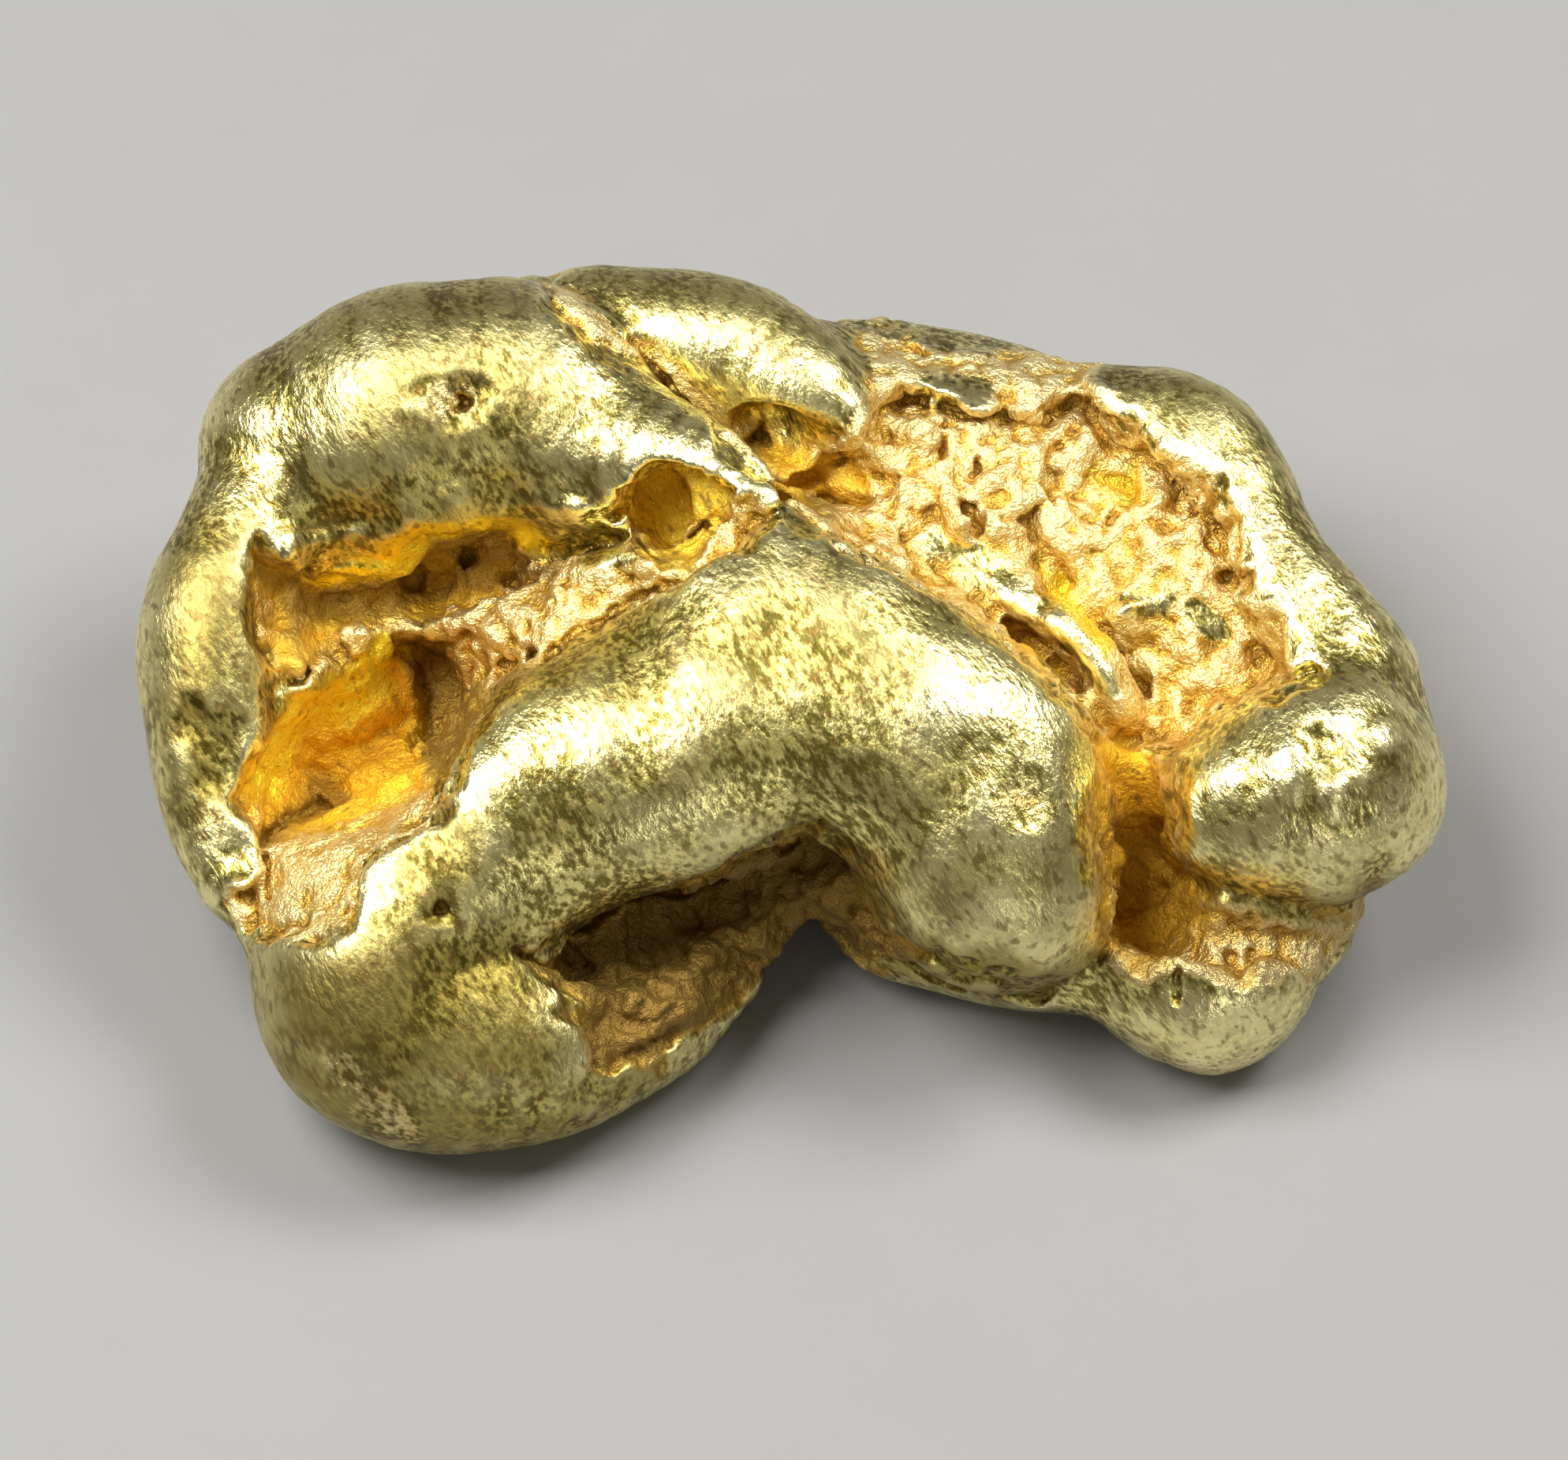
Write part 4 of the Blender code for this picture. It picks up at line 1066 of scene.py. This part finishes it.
def grain_group():
    """A node group: the fine streaked grain and broader mottling that wear leaves on gold."""
    tree = bpy.data.node_groups.new("worn_grain", "ShaderNodeTree")
    tree.interface.new_socket("Vector", in_out="INPUT", socket_type="NodeSocketVector")
    numbers = {"Grain Size": GRAIN_SIZE, "Mottle Size": MOTTLE_SIZE, "Mottling": MOTTLING}
    for name, value in numbers.items():
        socket = tree.interface.new_socket(name, in_out="INPUT", socket_type="NodeSocketFloat")
        socket.default_value = value
    for name in ("Grain", "Flecks", "Height"):
        tree.interface.new_socket(name, in_out="OUTPUT", socket_type="NodeSocketFloat")
    inputs = add_node(tree, "NodeGroupInput")
    outputs = add_node(tree, "NodeGroupOutput")
    turned = add_node(tree, "ShaderNodeMapping", vector_type="TEXTURE")
    feed(tree, turned, Vector=inputs.outputs["Vector"], Rotation=STREAK_TURN, Scale=STREAK_STRETCH)
    places = turned.outputs["Vector"]
    per_grain = maths(tree, "DIVIDE", 1.0, inputs.outputs["Grain Size"])
    per_mottle = maths(tree, "DIVIDE", 1.0, inputs.outputs["Mottle Size"])
    streaks = noise(tree, places, per_grain, *GRAIN_NOISE)
    mottle = noise(tree, places, per_mottle, *MOTTLE_NOISE)
    flecks = noise(tree, places, maths(tree, "DIVIDE", per_grain, FLECK_COARSENESS), *FLECK_NOISE)
    both = mixed_value(tree, inputs.outputs["Mottling"], streaks, mottle)
    tree.links.new(ramped(tree, both, *GRAIN_RAMP), outputs.inputs["Grain"])
    tree.links.new(ramped(tree, flecks, *FLECK_RAMP), outputs.inputs["Flecks"])
    tree.links.new(both, outputs.inputs["Height"])
    return tree


def new_material(name):
    material = bpy.data.materials.new(name)
    material.use_nodes = True
    return material, material.node_tree, material.node_tree.nodes["Principled BSDF"]


def millimetre_places(tree):
    places = add_node(tree, "ShaderNodeTexCoord")
    scaled = add_node(tree, "ShaderNodeMapping")
    feed(tree, scaled, Vector=places.outputs["Object"], Scale=(1 / MM, 1 / MM, 1 / MM))
    return scaled.outputs["Vector"]


def gold_material(settings, grain):
    """Natural gold: worn and greenish on the lobes, matt and warm where it crumbles, amber deep down,
    with painted shade in creases, crumb gaps, holes, under folds and on duller stretches, and a painted
    reflected glow by the pits.
    """
    material, tree, shader = new_material("natural_gold")
    places = millimetre_places(tree)
    whole_matt, deep, grime_and_shade, dull_and_shade, painted_glow, raised = (
        add_node(tree, "ShaderNodeAttribute", attribute_name=name).outputs["Fac"]
        for name in ("matt", "deep", "grime_and_shade", "dull_and_shade", "painted_glow", "raised")
    )
    worn = add_node(tree, "ShaderNodeGroup")
    worn.node_tree = grain
    tree.links.new(places, worn.inputs["Vector"])

    uneven = maths(tree, "SUBTRACT", worn.outputs["Height"], 0.5)
    ragged = maths(tree, "ADD", whole_matt, maths(tree, "MULTIPLY", uneven, MATT_RAGGEDNESS))
    matt = ramped(tree, ragged, *MATT_RAMP)

    polished = mixed_colour(tree, worn.outputs["Grain"], settings.dull_colour, settings.polished_colour)
    rubbed = mixed_colour(tree, ramped(tree, raised, *RUBBED_RAMP), polished, settings.pale_colour)
    spots = noise(tree, places, SPOT_SCALE, *SPOT_NOISE)
    spot = maths(tree, "MULTIPLY", ramped(tree, spots, *SPOT_RAMP), SPOT_SHARE)
    spotted = mixed_colour(tree, spot, rubbed, settings.matt_colour)
    # Painted shade: on the duller stretches the colour is multiplied darker
    dull_and_shaded = mixed_colour(tree, dull_and_shade, spotted, settings.shade_dimming, "MULTIPLY")
    # Crumb tops light, the gaps between them painted darker amber as painted shade
    crumbly = mixed_colour(tree, ramped(tree, raised, *CRUMB_RAMP), settings.crumb_gap_shade_colour,
                           settings.matt_colour)
    faced = mixed_colour(tree, matt, dull_and_shaded, crumbly)
    # Deep places painted amber brown, partly oxide stain and partly painted shade and reflected glow
    sunk = mixed_colour(tree, deep, faced, settings.deep_oxide_and_shade_colour)
    # Painted reflection: a bright yellow glow in the pits and under the lip
    lit = mixed_colour(tree, painted_glow, sunk, settings.painted_glow_colour)
    # Painted shade: creases and the places above are darkened with the stain colour, partly dirt, but not
    # where the painted glow is
    in_creases = maths(tree, "SUBTRACT", CREASE_DARKENING, maths(tree, "MULTIPLY", deep, CREASE_LESS_DEEP))
    creases = maths(tree, "MULTIPLY", ramped(tree, raised, *CREASE_RAMP), in_creases)
    stain_and_shade = maths(tree, "MAXIMUM", creases, grime_and_shade)
    unlit = maths(tree, "MULTIPLY", stain_and_shade, maths(tree, "SUBTRACT", 1.0, painted_glow))
    stained_and_shaded = mixed_colour(tree, unlit, lit, settings.stain_and_shade_colour)
    on_worn = maths(tree, "SUBTRACT", FLECK_SHARE, maths(tree, "MULTIPLY", matt, FLECK_LESS_MATT))
    flecked = mixed_colour(tree, maths(tree, "MULTIPLY", worn.outputs["Flecks"], on_worn), stained_and_shaded,
                           settings.stain_and_shade_colour)
    tree.links.new(flecked, shader.inputs["Base Color"])

    grained = mixed_value(tree, worn.outputs["Grain"], settings.roughness + GRAIN_ROUGHER,
                          settings.roughness)
    smooth = mixed_value(tree, dull_and_shade, grained, settings.roughness + DULL_ROUGHER)
    crumbled = mixed_value(tree, matt, smooth, MATT_ROUGHNESS)
    tree.links.new(mixed_value(tree, deep, crumbled, DEEP_ROUGHNESS), shader.inputs["Roughness"])
    metal = mixed_value(tree, deep, mixed_value(tree, matt, 1.0, MATT_METALLIC), DEEP_METALLIC)
    tree.links.new(metal, shader.inputs["Metallic"])
    shader.inputs["Specular IOR Level"].default_value = SPECULAR_LEVEL

    unpolished = maths(tree, "MAXIMUM", matt, deep)
    powder = noise(tree, places, POWDER_SCALE, *POWDER_NOISE)
    height = mixed_value(tree, unpolished, worn.outputs["Height"], powder)
    depth = mixed_value(tree, unpolished, settings.grain_depth, settings.powder_depth)
    bump = add_node(tree, "ShaderNodeBump")
    feed(tree, bump, Height=height, Strength=1.0, Distance=depth)
    tree.links.new(bump.outputs["Normal"], shader.inputs["Normal"])
    return material


def floor_material(settings):
    material, tree, shader = new_material("pale_table")
    places = millimetre_places(tree)
    tone = noise(tree, places, FLOOR_TONE_SCALE, *FLOOR_TONE_NOISE)
    shade = tuple(FLOOR_SHADE * c for c in settings.floor_colour[:3]) + (1.0,)
    tree.links.new(mixed_colour(tree, tone, shade, settings.floor_colour), shader.inputs["Base Color"])
    tree.links.new(mixed_value(tree, tone, *FLOOR_ROUGHNESS), shader.inputs["Roughness"])
    return material


class NuggetSettings(bpy.types.PropertyGroup):
    voxel: bpy.props.FloatProperty(
        name="Voxel", description="Finest grain of the mesh", default=0.00005, min=0.00003,
        unit="LENGTH", precision=6)
    grain_depth: bpy.props.FloatProperty(
        name="Grain Depth", description="Depth of the worn grain", default=0.000035, unit="LENGTH",
        precision=6)
    powder_depth: bpy.props.FloatProperty(
        name="Powder Depth", description="Depth of the grain where the metal is matt",
        default=0.00007, unit="LENGTH", precision=6)
    roughness: bpy.props.FloatProperty(
        name="Roughness", description="Roughness of the worn lobes", default=0.23, subtype="FACTOR",
        min=0.0, max=1.0)
    polished_colour: bpy.props.FloatVectorProperty(
        name="Polished", description="Worn metal on the lobes", default=(0.98, 0.85, 0.32, 1.0),
        subtype="COLOR", size=4)
    dull_colour: bpy.props.FloatVectorProperty(
        name="Dull", description="Between the worn grains", default=(0.22, 0.18, 0.04, 1.0),
        subtype="COLOR", size=4)
    # Painted shade: how far each colour is darkened on the duller stretches
    shade_dimming: bpy.props.FloatVectorProperty(
        name="Dulling", description="How far each colour dims on the dull stretches",
        default=(0.4, 0.36, 0.22, 1.0), subtype="COLOR", size=4)
    pale_colour: bpy.props.FloatVectorProperty(
        name="Pale", description="Rubbed patches", default=(1.0, 0.9, 0.45, 1.0), subtype="COLOR",
        size=4)
    matt_colour: bpy.props.FloatVectorProperty(
        name="Matt", description="Crumbly metal", default=(0.9, 0.72, 0.33, 1.0), subtype="COLOR",
        size=4)
    # Painted shade: the darker amber between the crumbs
    crumb_gap_shade_colour: bpy.props.FloatVectorProperty(
        name="Matt Dark", description="Between the crumbs", default=(0.62, 0.37, 0.06, 1.0),
        subtype="COLOR", size=4)
    # Partly oxide stain, partly painted shade and reflected glow deep in the pits
    deep_oxide_and_shade_colour: bpy.props.FloatVectorProperty(
        name="Deep", description="Metal deep in the pits", default=(0.85, 0.5, 0.03, 1.0),
        subtype="COLOR", size=4)
    # Painted reflection: the bright yellow glow by the pits
    painted_glow_colour: bpy.props.FloatVectorProperty(
        name="Vivid", description="Bright yellow metal by the pits", default=(1.0, 0.78, 0.05, 1.0),
        subtype="COLOR", size=4)
    # Colour of the dark flecks, of dirt, and of painted shade in creases, holes and under folds
    stain_and_shade_colour: bpy.props.FloatVectorProperty(
        name="Stain", description="Grime in pits and creases", default=(0.2, 0.12, 0.03, 1.0),
        subtype="COLOR", size=4)


class StageSettings(bpy.types.PropertyGroup):
    floor_colour: bpy.props.FloatVectorProperty(
        name="Floor", description="Colour of the table", default=(0.27, 0.265, 0.256, 1.0),
        subtype="COLOR", size=4)
    light_power: bpy.props.FloatProperty(
        name="Light Power", description="Power of the brightest light, in watts", default=0.205,
        subtype="POWER")
    sky: bpy.props.FloatProperty(
        name="Sky", description="Strength of the light from all round", default=0.17)
    camera_distance: bpy.props.FloatProperty(
        name="Camera Distance", description="From the camera to the nugget", default=0.15,
        unit="LENGTH")


class NUGGET_OT_body(bpy.types.Operator):
    """Makes the nugget as one fine mesh of worn, crumbly gold"""

    bl_idname = "nugget.body"
    bl_label = "Make Nugget"

    def execute(self, context):
        settings = context.scene.nugget
        obj = solid_copy()
        press_to_finest(obj, settings.voxel / MM)
        mark_areas(obj.data)
        set_places(obj.data, to_row(vertex_values(obj.data, "co")))
        obj.data.shade_smooth()
        obj.data.materials.clear()
        obj.data.materials.append(gold_material(settings, grain_group()))
        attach(obj, "root")
        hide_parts(CAD_NODE)
        return {"FINISHED"}


def aim(obj, place, target):
    obj.location = place
    obj.rotation_mode = "QUATERNION"
    obj.rotation_quaternion = (Vector(target) - Vector(place)).to_track_quat("-Z", "Y")


def add_light(name, direction, distance, size, power):
    """A soft square light that faces the nugget from a given direction."""
    data = bpy.data.lights.new(name, "AREA")
    data.size = size
    data.energy = power
    light = bpy.data.objects.new(name, data)
    bpy.context.scene.collection.objects.link(light)
    place = Vector(direction).normalized() * distance
    aim(light, place, LIGHT_TARGET)


class NUGGET_OT_stage(bpy.types.Operator):
    """Sets the table, the lights and the camera"""

    bl_idname = "nugget.stage"
    bl_label = "Set Stage"

    def execute(self, context):
        settings = context.scene.nugget_stage
        bpy.ops.object.select_all(action="DESELECT")
        bpy.ops.mesh.primitive_plane_add(size=FLOOR_SIZE)
        floor = context.object
        floor.name = "table"
        floor.data.materials.append(floor_material(settings))
        for name, direction, distance, size, share in LIGHTS:
            add_light(name, direction, distance, size, share * settings.light_power)
        world = bpy.data.worlds.new("dim_studio")
        world.use_nodes = True
        world.node_tree.nodes["Background"].inputs["Color"].default_value = SKY_COLOUR
        world.node_tree.nodes["Background"].inputs["Strength"].default_value = settings.sky
        context.scene.world = world
        data = bpy.data.cameras.new("camera")
        data.sensor_width = SENSOR_WIDTH
        data.lens = SENSOR_WIDTH * settings.camera_distance / VIEW_WIDTH
        data.clip_start = settings.camera_distance * NEAREST_SHARE
        camera = bpy.data.objects.new("camera", data)
        context.scene.collection.objects.link(camera)
        target = to_row(np.array([VIEW_CENTRE]))[0]
        back = Vector((0.0, -math.cos(FACE_LEAN), math.sin(FACE_LEAN)))
        aim(camera, Vector(target) + back * settings.camera_distance, target)
        context.scene.camera = camera
        context.scene.view_settings.view_transform = VIEW_TRANSFORM
        return {"FINISHED"}


class NUGGET_PT_panel(bpy.types.Panel):
    bl_label = "Gold Nugget"
    bl_idname = "NUGGET_PT_panel"
    bl_space_type = "VIEW_3D"
    bl_region_type = "UI"
    bl_category = "Nugget"

    def draw(self, context):
        layout = self.layout
        for group in (context.scene.nugget, context.scene.nugget_stage):
            for name in group.__annotations__:
                layout.prop(group, name)
        layout.operator("nugget.body")
        layout.operator("nugget.stage")


CLASSES = (NuggetSettings, StageSettings, NUGGET_OT_body, NUGGET_OT_stage, NUGGET_PT_panel)


def register():
    for cls in CLASSES:
        bpy.utils.register_class(cls)
    bpy.types.Scene.nugget = bpy.props.PointerProperty(type=NuggetSettings)
    bpy.types.Scene.nugget_stage = bpy.props.PointerProperty(type=StageSettings)


def unregister():
    del bpy.types.Scene.nugget_stage
    del bpy.types.Scene.nugget
    for cls in reversed(CLASSES):
        bpy.utils.unregister_class(cls)


def main():
    register()
    bpy.ops.nugget.body()
    bpy.ops.nugget.stage()


if __name__ == "__main__":
    main()
